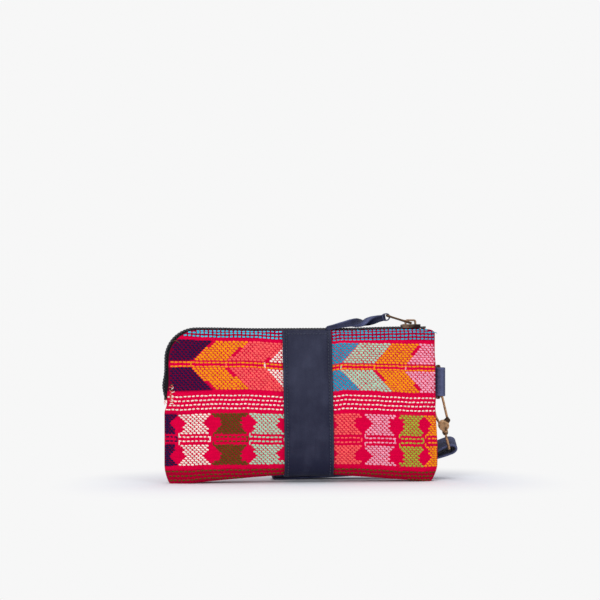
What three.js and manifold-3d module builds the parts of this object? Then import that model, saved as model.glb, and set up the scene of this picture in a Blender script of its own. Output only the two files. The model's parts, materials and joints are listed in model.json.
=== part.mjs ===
// A woven wristlet: a zipped pouch of brocade cloth with a leather band, and a leather wrist strap on a
// swivel snap hook. Millimetres, +Z up, the front faces -Y. The pieces are drawn round the middle of the
// cloth body, and at the end the whole is moved so that its origin is the bottom centre of its box.
import * as THREE from "three";
import { mergeVertices } from "three/addons/utils/BufferGeometryUtils.js";
import Module from "manifold-3d";

const wasm = await Module();
wasm.setup();

// Cloth body
const bodyWidth = 202.8; // over both side seams, where the body is widest
const bodyHeight = 113.6; // floor to the panels' top edge by the slider, where it is highest
const topFall = 1.7; // the top edge is this much lower at the left corner than by the slider
const topSag = 0.8; // and hangs this much below a straight line in between
const bodyDepth = 26;
const sideFlare = 2; // how much wider each side is below its middle than at the top
const zipCornerRadius = 21; // the top left corner, which the zip goes round
const seamCornerDrop = 2.4; // the top right corner slopes down by this
const seamCornerReach = 9; // over this length
const leftTuck = 3.4; // each side draws in by this towards the floor
const rightTuck = 4.6;
const tuckHeight = 13;
const archHeight = 5.6; // the bottom edge lifts off the floor between its two corners
const leftFoot = 16.9; // from the widest part of the body to where the bottom edge leaves the floor
const rightFoot = 10.4;
const footCut = 0.6; // how deep the rounded underside is pressed flat
const bellyHeight = 26; // the rounded lower part of the body
const panelThickness = 1.4;
const liningThickness = 0.6;
const liningInset = 9; // the lining stops this far inside the seams
const liningSlack = 0.6; // the lining hangs this far inside the panel
const clearance = 0.3; // between pieces that are sewn or pressed together

// Leather band
const bandWidth = 35.2;
const bandOffset = 3.2; // the band's middle, to the right of the body's
const bandLean = 1.4; // how far its bottom end is further right than its top end
const bandThickness = 1.6;
const bandLift = 1.4; // the seam is drawn up where the band passes under it
const bandTopGap = 0.6; // below the panels' top edge

// Zip
const zipGap = 6; // between the panels' inner faces
const zipEndHeight = 61; // where the zip ends on the left side
const zipRightInset = 7; // the zip starts this far inside the right seam
const zipEase = 3; // the panels stay apart for this much beyond each end of the zip
const tapeThickness = 0.5;
const tapeDepth = 9; // how far the tape reaches down inside the panel
const tapeShelf = 0.8; // the tape's flat rim stands this far above the panels' edge
const coilWidth = 2.3; // of one half
const coilHeight = 1.4;
const coilGap = 1.1; // between the two halves, where the slider's web runs
const stopLength = 2.2;

// Slider and puller
const sliderInset = 20.1; // from the right side seam to the middle of the slider when the zip is shut
const sliderLength = 13.6;
const sliderWidth = 8.4;
const plateThickness = 1.1;
const webThickness = 0.5;
const bridgeHeight = 3.3; // above the slider's top plate
const bridgeSpan = 8;
const bridgeWire = 1;
const bridgeWidth = 1.8;
const linkLength = 16.8; // from the bridge to the thong's hole
const linkTilt = THREE.MathUtils.degToRad(16.6);
const linkThickness = 1.1;
const linkRise = 0.4; // the link hangs this far above its lowest place under the bridge
const linkWidth = 5.2;
const thongLength = 50;
const thongTilt = THREE.MathUtils.degToRad(-7.1);
const thongWidth = 5.2;
const thongThickness = 3;
const thongTurns = 1.5;
const thongLoop = 2.7; // half of the size of its loop in the link's hole
const thongCord = 0.75; // radius of the loop's leather

// Side tab and D-ring
const tabHeight = 20.8;
const tabMiddle = 74.5; // above the floor
const tabThickness = 1.4;
const tabInside = 6; // length held in the seam
const tabSlack = 0.9; // the fold of the tab reaches this far beyond a snug fit round the bar
const ringWire = 2.2;
const ringSpan = 23.8; // between the middles of its legs
const ringLeg = 8; // straight length of each leg
const ringBow = 7;
const ringReach = 3.9; // from the right seam to the ring's bar
const ringTurn = THREE.MathUtils.degToRad(87); // turned to the back

// Snap hook
const hookSeat = 9.3; // along the ring's leg
const hookTilt = THREE.MathUtils.degToRad(-15.8);
const hookLean = THREE.MathUtils.degToRad(14); // the strap draws its lower end to the back
const hookWire = 1.8;
const hookSlack = 0.5; // between the hook's crown and the ring's leg
const hookWidth = 8.2; // between the middles of its two sides
const hookNose = 7.4; // the nose ends this far below the ring's leg
const gateLength = 11.9;
const gatePinRadius = 0.45;
const knuckleRadius = 1.05; // of the gate's round foot
const springLeaf = 0.25;
const bossRadius = 3.85;
const bossThickness = 5.2;
const bossDrop = 23; // from the ring's leg to the middle of the boss
const eyeTurn = THREE.MathUtils.degToRad(-7); // the eye is turned this far in the boss
const eyeWidth = 16.4; // between the middles of its sides
const eyeHeight = 9.65;
const eyeCorner = 1.9;
const neckRadius = 2.2;
const neckHeight = 3.4;
const stemRadius = 0.9; // the pin that goes up from the neck into the boss
const stemHeight = 1.6;
const rivetRoom = 3; // the height of the socket in the boss for the rivet head
const rivetRadius = 1.6;

// Wrist strap
const strapWidth = 12.7;
const strapThickness = 1.9;
const strapFold = 2.8; // inside radius of the fold round the eye
const strapGap = 0.6; // half of the gap between the two layers
const strapEndFold = 1.2; // inside radius of the fold at the far end
const strapReach = 120.9; // from the right side seam to the middle of the far fold
const strapBack = 23; // how far behind the body's middle the strap lies
const strapRoll = THREE.MathUtils.degToRad(-30); // its back edge is the higher one at the eye
const strapTwist = 1.2; // it rolls further by this factor just behind the eye

// Derived places
const halfWidth = bodyWidth / 2;
const halfSeam = clearance / 2 + panelThickness; // half of the body's depth at a plain seam
const halfZip = zipGap / 2 + panelThickness;
const bulge = bodyDepth / 2 - halfSeam;
const leftArch = halfWidth - leftFoot;
const rightArch = halfWidth - rightFoot;
const sliderX = halfWidth - sliderInset;
const strapEnd = halfWidth - strapReach;
const coilBase = bodyHeight + tapeShelf + clearance;
const coilTop = coilBase + coilHeight;
const zipHalf = halfWidth - sideFlare; // half of the body's width beside the zip
const seatSpread = 2 * tabThickness + 2 * clearance; // what the tab takes between the panels
const barX = zipHalf + ringReach;
const topEnd = zipCornerRadius - zipHalf; // where the top edge meets the rounded corner
const zipStart = zipHalf - zipRightInset;

const lerp = THREE.MathUtils.lerp;
const vector = (x, y, z) => new THREE.Vector3(x, y, z);
const smooth = (t) => THREE.MathUtils.smoothstep(t, 0, 1);
const between = (z, low, high) => smooth((z - low) / (high - low));

// Closed surfaces

function geometryOf(points, faces) {
  const geometry = new THREE.BufferGeometry();
  geometry.setAttribute("position", new THREE.Float32BufferAttribute(points.flatMap((p) => p.toArray()), 3));
  geometry.setIndex(faces);
  return geometry;
}

// A skin between two grids of points of the same size, closed along its four edges.
function skin(outer, inner) {
  const rows = outer.length;
  const columns = outer[0].length;
  const points = [...outer.flat(), ...inner.flat()];
  const faces = [];
  const at = (side, i, j) => side * rows * columns + i * columns + j;
  const quad = (a, b, c, d) => faces.push(a, b, c, a, c, d);
  for (let i = 0; i + 1 < rows; i++) {
    for (let j = 0; j + 1 < columns; j++) {
      quad(at(0, i, j), at(0, i + 1, j), at(0, i + 1, j + 1), at(0, i, j + 1));
      quad(at(1, i, j), at(1, i, j + 1), at(1, i + 1, j + 1), at(1, i + 1, j));
    }
    quad(at(0, i, 0), at(1, i, 0), at(1, i + 1, 0), at(0, i + 1, 0));
    const last = columns - 1;
    quad(at(0, i, last), at(0, i + 1, last), at(1, i + 1, last), at(1, i, last));
  }
  for (let j = 0; j + 1 < columns; j++) {
    quad(at(0, 0, j), at(0, 0, j + 1), at(1, 0, j + 1), at(1, 0, j));
    const last = rows - 1;
    quad(at(0, last, j), at(1, last, j), at(1, last, j + 1), at(0, last, j + 1));
  }
  return outwards(geometryOf(points, faces));
}

// A solid through rings of points with the same count: capped at both ends, or closed on itself.
function loft(rings, closed = false) {
  const count = rings[0].length;
  const faces = [];
  const spans = closed ? rings.length : rings.length - 1;
  for (let i = 0; i < spans; i++) {
    const next = (i + 1) % rings.length;
    for (let j = 0; j < count; j++) {
      const k = (j + 1) % count;
      const [a, b, c, d] = [i * count + j, i * count + k, next * count + k, next * count + j];
      faces.push(a, b, c, a, c, d);
    }
  }
  const points = rings.flat();
  if (!closed) {
    for (const [ring, turned] of [[0, true], [rings.length - 1, false]]) {
      for (const [a, b, c] of capOf(rings[ring])) {
        const [p, q, r] = [ring * count + a, ring * count + b, ring * count + c];
        faces.push(p, turned ? r : q, turned ? q : r);
      }
    }
  }
  return outwards(geometryOf(points, faces));
}

// The triangles that fill a flat ring of points, turned the way that the ring runs.
function capOf(ring) {
  const normal = vector(0, 0, 0);
  ring.forEach((p, i) => normal.add(vector(0, 0, 0).crossVectors(p, ring[(i + 1) % ring.length])));
  normal.normalize();
  const across = ring[1].clone().sub(ring[0]).cross(normal).normalize();
  const along = vector(0, 0, 0).crossVectors(normal, across);
  const flat = ring.map((p) => new THREE.Vector2(p.dot(across), p.dot(along)));
  return THREE.ShapeUtils.triangulateShape(flat, []);
}

// The same surface with its faces turned outwards, if they point inwards.
function outwards(geometry) {
  const position = geometry.getAttribute("position");
  const index = geometry.getIndex().array;
  const corner = (i) => vector(0, 0, 0).fromBufferAttribute(position, index[i]);
  let volume = 0;
  for (let i = 0; i < index.length; i += 3) {
    volume += corner(i).dot(corner(i + 1).cross(corner(i + 2)));
  }
  if (volume < 0) {
    for (let i = 0; i < index.length; i += 3) [index[i + 1], index[i + 2]] = [index[i + 2], index[i + 1]];
  }
  return geometry;
}

// A round wire along a flat path. The path lies square to the given normal.
function wire(path, radius, normal, { closed = false, sides = 8 } = {}) {
  const rings = path.map((p, i) => {
    const before = path[closed ? (i + path.length - 1) % path.length : Math.max(i - 1, 0)];
    const after = path[closed ? (i + 1) % path.length : Math.min(i + 1, path.length - 1)];
    const along = after.clone().sub(before).normalize();
    const across = along.clone().cross(normal).normalize();
    return Array.from({ length: sides }, (_, k) => {
      const angle = (2 * Math.PI * (k + 0.5)) / sides;
      return p.clone()
        .addScaledVector(across, radius * Math.cos(angle))
        .addScaledVector(normal, radius * Math.sin(angle));
    });
  });
  return loft(rings, closed);
}

// A flat outline, drawn in x and y, with a thickness along z.
function plate(shape, thickness, curveSegments = 10) {
  return new THREE.ExtrudeGeometry(shape, { depth: thickness, bevelEnabled: false, curveSegments });
}

// Booleans

function solid(geometry) {
  const plain = geometry.clone();
  plain.deleteAttribute("normal");
  plain.deleteAttribute("uv");
  const merged = mergeVertices(plain, 1e-4);
  return new wasm.Manifold(
    new wasm.Mesh({
      numProp: 3,
      vertProperties: merged.getAttribute("position").array,
      triVerts: new Uint32Array(merged.getIndex().array),
    }),
  );
}

function geometryFrom(manifold) {
  const mesh = manifold.getMesh();
  const geometry = new THREE.BufferGeometry();
  geometry.setAttribute("position", new THREE.BufferAttribute(mesh.vertProperties, 3));
  geometry.setIndex(new THREE.BufferAttribute(mesh.triVerts, 1));
  return geometry;
}

const joined = (...parts) => geometryFrom(parts.map(solid).reduce((a, b) => a.add(b)));
const cut = (part, ...tools) => geometryFrom(tools.map(solid).reduce((a, b) => a.subtract(b), solid(part)));

// The form of the cloth body

// How far a rounded corner draws a side in, at a distance below the corner's top.
function cornerInset(distance, drop, reach) {
  if (distance >= drop) return 0;
  return reach * (1 - Math.sqrt(Math.max(1 - (1 - distance / drop) ** 2, 0)));
}

// The height of the panels' top edge: it falls from the slider to the left corner, and sags in between.
function topEdge(x) {
  const run = THREE.MathUtils.clamp((sliderX - x) / (sliderX - topEnd), 0, 1);
  const sag = between(x, topEnd + 4, -30) * (1 - between(x, 30, sliderX - 9));
  return bodyHeight - topFall * run - topSag * sag;
}

const sideTop = (side) => (side < 0 ? bodyHeight - topFall : bodyHeight);

// The body's left (-1) or right (1) side at a height.
function sideX(side, z) {
  const left = side < 0;
  const flare = left ? between(z, zipEndHeight - 10, zipEndHeight - 2) : between(z, 24, tabMiddle - 6);
  const drop = left ? zipCornerRadius : seamCornerDrop;
  const corner = cornerInset(sideTop(side) - z, drop, left ? zipCornerRadius : seamCornerReach);
  const tuck = (left ? leftTuck : rightTuck) * Math.max(1 - z / tuckHeight, 0) ** 1.7;
  return side * (halfWidth - sideFlare * flare - corner - tuck);
}

// A place across the body: from its left side at 0 to its right side at 1, v of the way up.
const placeX = (u, v) => lerp(sideX(-1, v * sideTop(-1)), sideX(1, v * sideTop(1)), u);

const bandMiddle = (z) => bandOffset + bandLean * (0.5 - z / bodyHeight);

// The height of the bottom seam.
function seamHeight(x) {
  const share = Math.min(x < 0 ? -x / leftArch : x / rightArch, 1);
  const arch = Math.cos((Math.PI / 2) * share);
  const band = Math.exp(-(((x - bandMiddle(0)) / bandWidth) ** 2) * 2.5);
  return archHeight * arch + bandLift * band;
}

// Half of the body's depth at a place, measured from its middle plane to the outer face of a panel.
function halfDepth(x, z) {
  const foot = seamHeight(x);
  const v = THREE.MathUtils.clamp((z - foot) / (topEdge(x) - foot), 0, 1);
  const left = placeX(0, v);
  const right = placeX(1, v);
  const u = THREE.MathUtils.clamp((x - left) / (right - left), 0, 1);
  const belly = Math.min((z - foot + footCut) / bellyHeight, 1);
  const rounded = Math.cbrt(1 - (1 - belly) ** 3);
  const taper = Math.cos((Math.PI / 2) * Math.max((v - 0.3) / 0.7, 0)) ** 0.8;
  const across = (4 * u * (1 - u)) ** 0.35;
  const zipSide = 1 - between(u, 0, 0.14);
  const open = 1 - between(x, zipStart + zipEase, zipHalf - clearance);
  const byZip = Math.max(
    between(v, 0.72, 1) * open,
    zipSide * between(z, zipEndHeight - 14, zipEndHeight - zipEase),
  );
  const tabEdge = tabHeight / 2 + 1.6;
  const below = between(z, tabMiddle - tabEdge - 10, tabMiddle - tabEdge);
  const tabBump = below * (1 - between(z, tabMiddle + tabEdge, tabMiddle + tabEdge + 10));
  const spread = (seatSpread / 2) * tabBump * between(u, 0.9, 1);
  return lerp(halfSeam, halfZip, byZip) + spread + bulge * across * rounded * taper;
}

// Steps from 0 to 1 that lie closer together at both ends.
const easedSteps = (count) =>
  Array.from({ length: count + 1 }, (_, i) => (1 - Math.cos((Math.PI * i) / count)) / 2);

// One panel: side -1 is the front, 1 the back. Its lower rows lie flat on the floor side of the body.
function panel(side) {
  const baseRows = 2;
  const heights = easedSteps(18);
  const outer = [];
  const inner = [];
  for (const u of easedSteps(26)) {
    const outerRow = [];
    const innerRow = [];
    const x0 = placeX(u, 0);
    const foot = seamHeight(x0);
    const footDepth = halfDepth(x0, foot);
    for (let i = 0; i < baseRows; i++) {
      const y = lerp(clearance / 2, footDepth, i / baseRows);
      outerRow.push(vector(x0, side * y, foot));
      innerRow.push(vector(x0, side * Math.min(y, footDepth - panelThickness), foot + panelThickness));
    }
    for (const v of heights) {
      const x = placeX(u, v);
      const z = lerp(seamHeight(x), topEdge(x), v);
      const y = halfDepth(x, z);
      outerRow.push(vector(x, side * y, z));
      innerRow.push(vector(x, side * (y - panelThickness), Math.max(z, seamHeight(x) + panelThickness)));
    }
    outer.push(outerRow);
    inner.push(innerRow);
  }
  return skin(outer, inner);
}

// One lining: it follows the inside of its panel and stops short of the seams.
function lining(side) {
  const outer = [];
  const inner = [];
  const reach = panelThickness + liningSlack;
  const top = bodyHeight - topFall - topSag - tapeDepth - 2 * clearance;
  for (const u of easedSteps(16)) {
    const outerRow = [];
    const innerRow = [];
    for (const v of easedSteps(14)) {
      const level = lerp(liningInset, top, v);
      const x = lerp(sideX(-1, level) + liningInset, sideX(1, level) - liningInset, u);
      const z = Math.max(level, seamHeight(x) + liningInset);
      const y = halfDepth(x, z) - reach;
      outerRow.push(vector(x, side * y, z));
      innerRow.push(vector(x, side * (y - liningThickness), z));
    }
    outer.push(outerRow);
    inner.push(innerRow);
  }
  return skin(outer, inner);
}

// The leather band: from the front's top edge, under the bottom seam and up the back.
function band() {
  const side = (x, sign, count) =>
    Array.from({ length: count }, (_, i) => {
      const foot = seamHeight(x);
      const top = topEdge(x) - bandTopGap;
      const z = lerp(foot, top, (i / (count - 1)) ** 1.6);
      return [sign * halfDepth(x, z), z];
    });
  const rowAt = (x, offset) => {
    const front = side(x, -1, 20).reverse();
    const back = side(x, 1, 20);
    const line = [...front, [0, seamHeight(x)], ...back];
    return line.map(([y, z], i) => {
      const before = line[Math.max(i - 1, 0)];
      const after = line[Math.min(i + 1, line.length - 1)];
      const run = Math.hypot(after[0] - before[0], after[1] - before[1]);
      const ny = (after[1] - before[1]) / run;
      const nz = -(after[0] - before[0]) / run;
      const end = i === 0 || i === line.length - 1;
      return [y + ny * offset, end ? z : z + nz * offset];
    });
  };
  const outer = [];
  const inner = [];
  for (const u of [0, 0.25, 0.5, 0.75, 1]) {
    const place = (offset) =>
      rowAt(bandOffset + bandWidth * (u - 0.5), offset).map(([y, z]) =>
        vector(bandMiddle(z) + bandWidth * (u - 0.5), y, z),
      );
    outer.push(place(clearance + bandThickness));
    inner.push(place(clearance));
  }
  return skin(outer, inner);
}

// The zip

// Stations along the zip, from its right end over the top and down the left side. Each has the place on the
// panels' edge and the direction out of the body.
function zipStations(fromX, toHeight) {
  const stations = [];
  const arcCentre = vector(topEnd, 0, sideTop(-1) - zipCornerRadius);
  for (let i = 0; i <= 26; i++) {
    const x = lerp(fromX, topEnd, i / 26);
    stations.push({ place: vector(x, 0, topEdge(x)), out: vector(0, 0, 1) });
  }
  for (let i = 1; i <= 10; i++) {
    const angle = (Math.PI / 2) * (1 + i / 10);
    const out = vector(Math.cos(angle), 0, Math.sin(angle));
    stations.push({ place: arcCentre.clone().addScaledVector(out, zipCornerRadius), out });
  }
  for (let i = 1; i <= 3; i++) {
    const z = lerp(arcCentre.z, toHeight, i / 3);
    stations.push({ place: vector(-zipHalf, 0, z), out: vector(-1, 0, 0) });
  }
  return stations;
}

// Sweeps a section along the zip. The section's points are (depth along y, rise out of the panels' edge).
function alongZip(section, fromX, toHeight) {
  return loft(
    zipStations(fromX, toHeight).map(({ place, out }) =>
      section.map(([y, rise]) => place.clone().addScaledVector(out, rise).add(vector(0, y, 0))),
    ),
  );
}

function zipTape(side) {
  const outerY = zipGap / 2 - clearance;
  const innerY = coilGap / 2;
  const section = [
    [outerY, -tapeDepth],
    [outerY, tapeShelf],
    [innerY, tapeShelf],
    [innerY, tapeShelf - tapeThickness],
    [outerY - tapeThickness, tapeShelf - tapeThickness],
    [outerY - tapeThickness, -tapeDepth],
  ];
  return alongZip(section.map(([y, rise]) => [side * y, rise]), zipStart, zipEndHeight);
}

function zipCoil(side) {
  const base = coilBase - bodyHeight;
  const middle = coilGap / 2 + coilWidth / 2;
  const section = [];
  for (let i = 0; i <= 6; i++) {
    const angle = (Math.PI * i) / 6;
    const y = middle - (coilWidth / 2) * Math.cos(angle);
    section.push([side * y, base + coilHeight * Math.sin(angle) ** 0.6]);
  }
  return alongZip(section, zipStart - stopLength - clearance, zipEndHeight + stopLength + clearance);
}

function box(width, depth, height, x, y, z) {
  return new THREE.BoxGeometry(width, depth, height).translate(x, y, z);
}

// A top stop closes the end of one coil.
function topStop(side) {
  const y = side * (coilGap / 2 + coilWidth / 2);
  return box(stopLength, coilWidth, coilHeight, zipStart - stopLength / 2, y, coilBase + coilHeight / 2);
}

// The bottom stop bridges both coils at the zip's lower end.
function bottomStop() {
  const x = -zipHalf - (coilBase - bodyHeight) - coilHeight / 2;
  return box(coilHeight, coilGap + 2 * coilWidth, stopLength, x, 0, zipEndHeight + stopLength / 2);
}

// The slider: two plates with lips round the coils, joined by the web that runs between the coils.
function sliderBody() {
  const plateBottom = coilTop + clearance;
  const lipReach = sliderWidth / 2;
  const lipInner = coilGap / 2 + coilWidth + clearance;
  const lowerTop = bodyHeight + tapeShelf - tapeThickness - clearance - topSag;
  const lowerHalf = zipGap / 2 - 2 * clearance - tapeThickness;
  const lipBottom = coilBase;
  const outline = new THREE.Shape();
  outline.moveTo(-lipReach, lipBottom);
  outline.lineTo(-lipInner, lipBottom);
  outline.lineTo(-lipInner, plateBottom);
  outline.lineTo(-webThickness / 2, plateBottom);
  outline.lineTo(-webThickness / 2, lowerTop);
  outline.lineTo(-lowerHalf, lowerTop);
  outline.lineTo(-lowerHalf, lowerTop - plateThickness);
  outline.lineTo(lowerHalf, lowerTop - plateThickness);
  outline.lineTo(lowerHalf, lowerTop);
  outline.lineTo(webThickness / 2, lowerTop);
  outline.lineTo(webThickness / 2, plateBottom);
  outline.lineTo(lipInner, plateBottom);
  outline.lineTo(lipInner, lipBottom);
  outline.lineTo(lipReach, lipBottom);
  outline.lineTo(lipReach, plateBottom + plateThickness);
  outline.lineTo(-lipReach, plateBottom + plateThickness);
  outline.closePath();
  const block = plate(outline, sliderLength, 1);
  block.rotateX(Math.PI / 2).rotateZ(Math.PI / 2).translate(sliderX - sliderLength / 2, 0, 0);
  return block;
}

const plateTop = coilTop + clearance + plateThickness;
const linkPivot = vector(sliderX, 0, plateTop + clearance + linkThickness / 2 + linkRise);

// The bridge on the slider's top plate: a low arch that the link hangs under.
function sliderBridge() {
  const outline = new THREE.Shape();
  const half = bridgeSpan / 2;
  const shoulder = 1.6;
  outline.moveTo(-half, 0);
  outline.lineTo(-half, bridgeHeight - shoulder);
  outline.absarc(-half + shoulder, bridgeHeight - shoulder, shoulder, Math.PI, Math.PI / 2, true);
  outline.absarc(half - shoulder, bridgeHeight - shoulder, shoulder, Math.PI / 2, 0, true);
  outline.lineTo(half, 0);
  outline.lineTo(half - bridgeWire, 0);
  outline.lineTo(half - bridgeWire, bridgeHeight - bridgeWire);
  outline.lineTo(-half + bridgeWire, bridgeHeight - bridgeWire);
  outline.lineTo(-half + bridgeWire, 0);
  outline.closePath();
  const arch = plate(outline, bridgeWidth, 4);
  return arch.rotateX(Math.PI / 2).translate(sliderX, bridgeWidth / 2, plateTop + clearance);
}

// The pull link, drawn flat from its pivot towards -X: an eye round the bridge, a waist and a hole.
function pullLink() {
  const outline = new THREE.Shape();
  const half = linkWidth / 2;
  const eyeEnd = bridgeSpan / 2 + clearance;
  outline.moveTo(0.9, -half + 1);
  outline.lineTo(0.9, half - 1);
  outline.lineTo(0.4, half);
  outline.lineTo(-eyeEnd - 1.2, half);
  outline.lineTo(-eyeEnd - 3.4, half - 0.9);
  outline.lineTo(-linkLength + 2.4, half - 0.9);
  outline.absarc(-linkLength, 0, half, 0.7, 2 * Math.PI - 0.7, false);
  outline.lineTo(-linkLength + 2.4, -half + 0.9);
  outline.lineTo(-eyeEnd - 3.4, -half + 0.9);
  outline.lineTo(-eyeEnd - 1.2, -half);
  outline.lineTo(0.4, -half);
  outline.closePath();
  const eye = new THREE.Path();
  const eyeHalf = bridgeWidth / 2 + clearance;
  eye.moveTo(-0.5, -eyeHalf);
  eye.lineTo(-0.5, eyeHalf);
  eye.lineTo(-eyeEnd, eyeHalf);
  eye.lineTo(-eyeEnd, -eyeHalf);
  eye.closePath();
  const hole = new THREE.Path();
  hole.absellipse(-linkLength, 0, 1.5, 1.5, 0, 2 * Math.PI, true);
  outline.holes.push(eye, hole);
  return plate(outline, linkThickness, 8).translate(0, 0, -linkThickness / 2);
}

// The twisted thong, drawn from its loop in the link's hole towards -X.
function pullThong() {
  const steps = 34;
  const sides = 10;
  const start = 2 * thongLoop - 1;
  const rings = Array.from({ length: steps + 1 }, (_, i) => {
    const s = i / steps;
    const x = -lerp(start, thongLength, s);
    const turn = Math.PI * 2 * thongTurns * s;
    const taper = 1 - 0.45 * between(s, 0.82, 1);
    return Array.from({ length: sides }, (_, k) => {
      const angle = (2 * Math.PI * k) / sides;
      const a = (thongWidth / 2) * taper * Math.cos(angle);
      const b = (thongThickness / 2) * taper * Math.sin(angle);
      return vector(x, a * Math.cos(turn) - b * Math.sin(turn), a * Math.sin(turn) + b * Math.cos(turn));
    });
  });
  const square = (c) => Math.sign(c) * Math.abs(c) ** 0.7;
  const path = Array.from({ length: 20 }, (_, i) => {
    const angle = (2 * Math.PI * (i + 0.5)) / 20;
    return vector(thongLoop * (square(Math.cos(angle)) - 1), 0, thongLoop * square(Math.sin(angle)));
  });
  return joined(loft(rings), wire(path, thongCord, vector(0, 1, 0), { closed: true, sides: 6 }));
}

// Side tab and ring

// The tab: a leather strip folded round the ring's bar, its two ends held in the side seam.
function sideTab() {
  const slot = clearance / 2;
  const legOut = slot + tabThickness;
  const loopX = barX + tabSlack;
  const loopIn = ringWire / 2 + clearance + tabSlack;
  const loopOut = loopIn + tabThickness;
  const start = zipHalf - tabInside;
  const outline = new THREE.Shape();
  const neck = Math.acos(legOut / loopOut);
  const throat = Math.acos(slot / loopIn);
  outline.moveTo(start, -legOut);
  outline.lineTo(loopX - loopOut * Math.sin(neck), -legOut);
  outline.absarc(loopX, 0, loopOut, -Math.PI / 2 - neck, Math.PI / 2 + neck, false);
  outline.lineTo(start, legOut);
  outline.lineTo(start, slot);
  outline.lineTo(loopX - loopIn * Math.sin(throat), slot);
  outline.absarc(loopX, 0, loopIn, Math.PI / 2 + throat, -Math.PI / 2 - throat, true);
  outline.lineTo(start, -slot);
  outline.closePath();
  return plate(outline, tabHeight, 16).translate(0, 0, tabMiddle - tabHeight / 2);
}

// The ring, in its own plane: the bar stands on the axis, the bow points along +X.
function dRing() {
  const half = ringSpan / 2;
  const corner = 1.6;
  const path = [];
  const turn = (cx, cz, r, from, to, steps) => {
    for (let i = 0; i <= steps; i++) {
      const angle = lerp(from, to, i / steps);
      path.push(vector(cx + r * Math.cos(angle), 0, cz + r * Math.sin(angle)));
    }
  };
  turn(corner, -half + corner, corner, Math.PI, 1.5 * Math.PI, 3);
  for (let i = 0; i <= 14; i++) {
    const angle = -Math.PI / 2 + (Math.PI * i) / 14;
    path.push(vector(ringLeg + ringBow * Math.cos(angle), 0, half * Math.sin(angle)));
  }
  turn(corner, half - corner, corner, Math.PI / 2, Math.PI, 3);
  return wire(path, ringWire / 2, vector(0, 1, 0), { closed: true });
}

// Snap hook, in its own frame: the ring's leg runs along Y through the origin, the hook hangs down.

const gatePivot = vector(hookWidth / 2, 0, -hookNose - clearance - gateLength);
const bossMiddle = -bossDrop;
const rivetMiddle = bossMiddle - bossRadius + 2.2;
const forkHalf = 1.9; // half of the hook's thickness where it holds the gate
const eyeTop = bossMiddle - bossRadius - clearance - neckHeight;
const barHeight = eyeTop - eyeHeight;

function snapHook() {
  const half = hookWidth / 2;
  const crown = ringWire / 2 + hookSlack + hookWire / 2;
  const path = [vector(half, 0, -hookNose)];
  for (let i = 0; i <= 12; i++) {
    const angle = (Math.PI * i) / 12;
    path.push(vector(half * Math.cos(angle), 0, crown - half + half * Math.sin(angle)));
  }
  path.push(vector(-half, 0, bossMiddle + 12), vector(-half, 0, bossMiddle + 9));
  path.push(vector(-half + 0.4, 0, bossMiddle + 6.4), vector(-half + 1.2, 0, bossMiddle + 3.6));
  path.push(vector(-1.2, 0, bossMiddle + 1));
  const arm = wire(path, hookWire / 2, vector(0, 1, 0));
  const boss = new THREE.CylinderGeometry(bossRadius, bossRadius, bossThickness, 28);
  boss.translate(0, 0, bossMiddle);
  const lug = new THREE.CylinderGeometry(1.6, 1.6, 2 * forkHalf, 20).translate(gatePivot.x, 0, gatePivot.z);
  const root = new THREE.CylinderGeometry(2.4, 2.4, 2 * forkHalf, 20).translate(0.6, 0, bossMiddle + 0.8);
  const fork = geometryFrom(wasm.Manifold.hull([solid(lug), solid(root)]));
  const slot = box(5.6, hookWire + 2 * clearance, 5.6, half + 0.1, 0, gatePivot.z + 0.4);
  const holeRadius = gatePinRadius + clearance / 2;
  const pinHole = new THREE.CylinderGeometry(holeRadius, holeRadius, 9, 12);
  pinHole.translate(gatePivot.x, 0, gatePivot.z);
  const socketRadius = rivetRadius + clearance;
  const socket = new THREE.CylinderGeometry(socketRadius, socketRadius, rivetRoom, 20).rotateX(Math.PI / 2);
  socket.translate(0, 0, rivetMiddle);
  const boreRadius = stemRadius + clearance;
  const bore = new THREE.CylinderGeometry(boreRadius, boreRadius, rivetRoom, 16).rotateX(Math.PI / 2);
  bore.translate(0, 0, bossMiddle - bossRadius);
  return cut(joined(arm, boss, fork), slot, pinHole, socket, bore);
}

function hookGate() {
  const path = [vector(gatePivot.x, 0, -hookNose - clearance), vector(gatePivot.x, 0, gatePivot.z)];
  const rod = wire(path, hookWire / 2, vector(0, 1, 0));
  const knuckle = new THREE.CylinderGeometry(knuckleRadius, knuckleRadius, hookWire, 16);
  knuckle.translate(gatePivot.x, 0, gatePivot.z);
  const holeRadius = gatePinRadius + clearance / 2;
  const hole = new THREE.CylinderGeometry(holeRadius, holeRadius, 2 * hookWire, 12);
  return cut(joined(rod, knuckle), hole.translate(gatePivot.x, 0, gatePivot.z));
}

function gatePin() {
  const pin = new THREE.CylinderGeometry(gatePinRadius, gatePinRadius, 2 * forkHalf, 12);
  return pin.translate(gatePivot.x, 0, gatePivot.z);
}

// A leaf that pushes the gate's foot outwards.
function gateSpring() {
  const top = gatePivot.z - knuckleRadius - clearance;
  return box(1.6, 1.4, springLeaf, gatePivot.x - 0.3, 0, top - springLeaf / 2);
}

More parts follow.
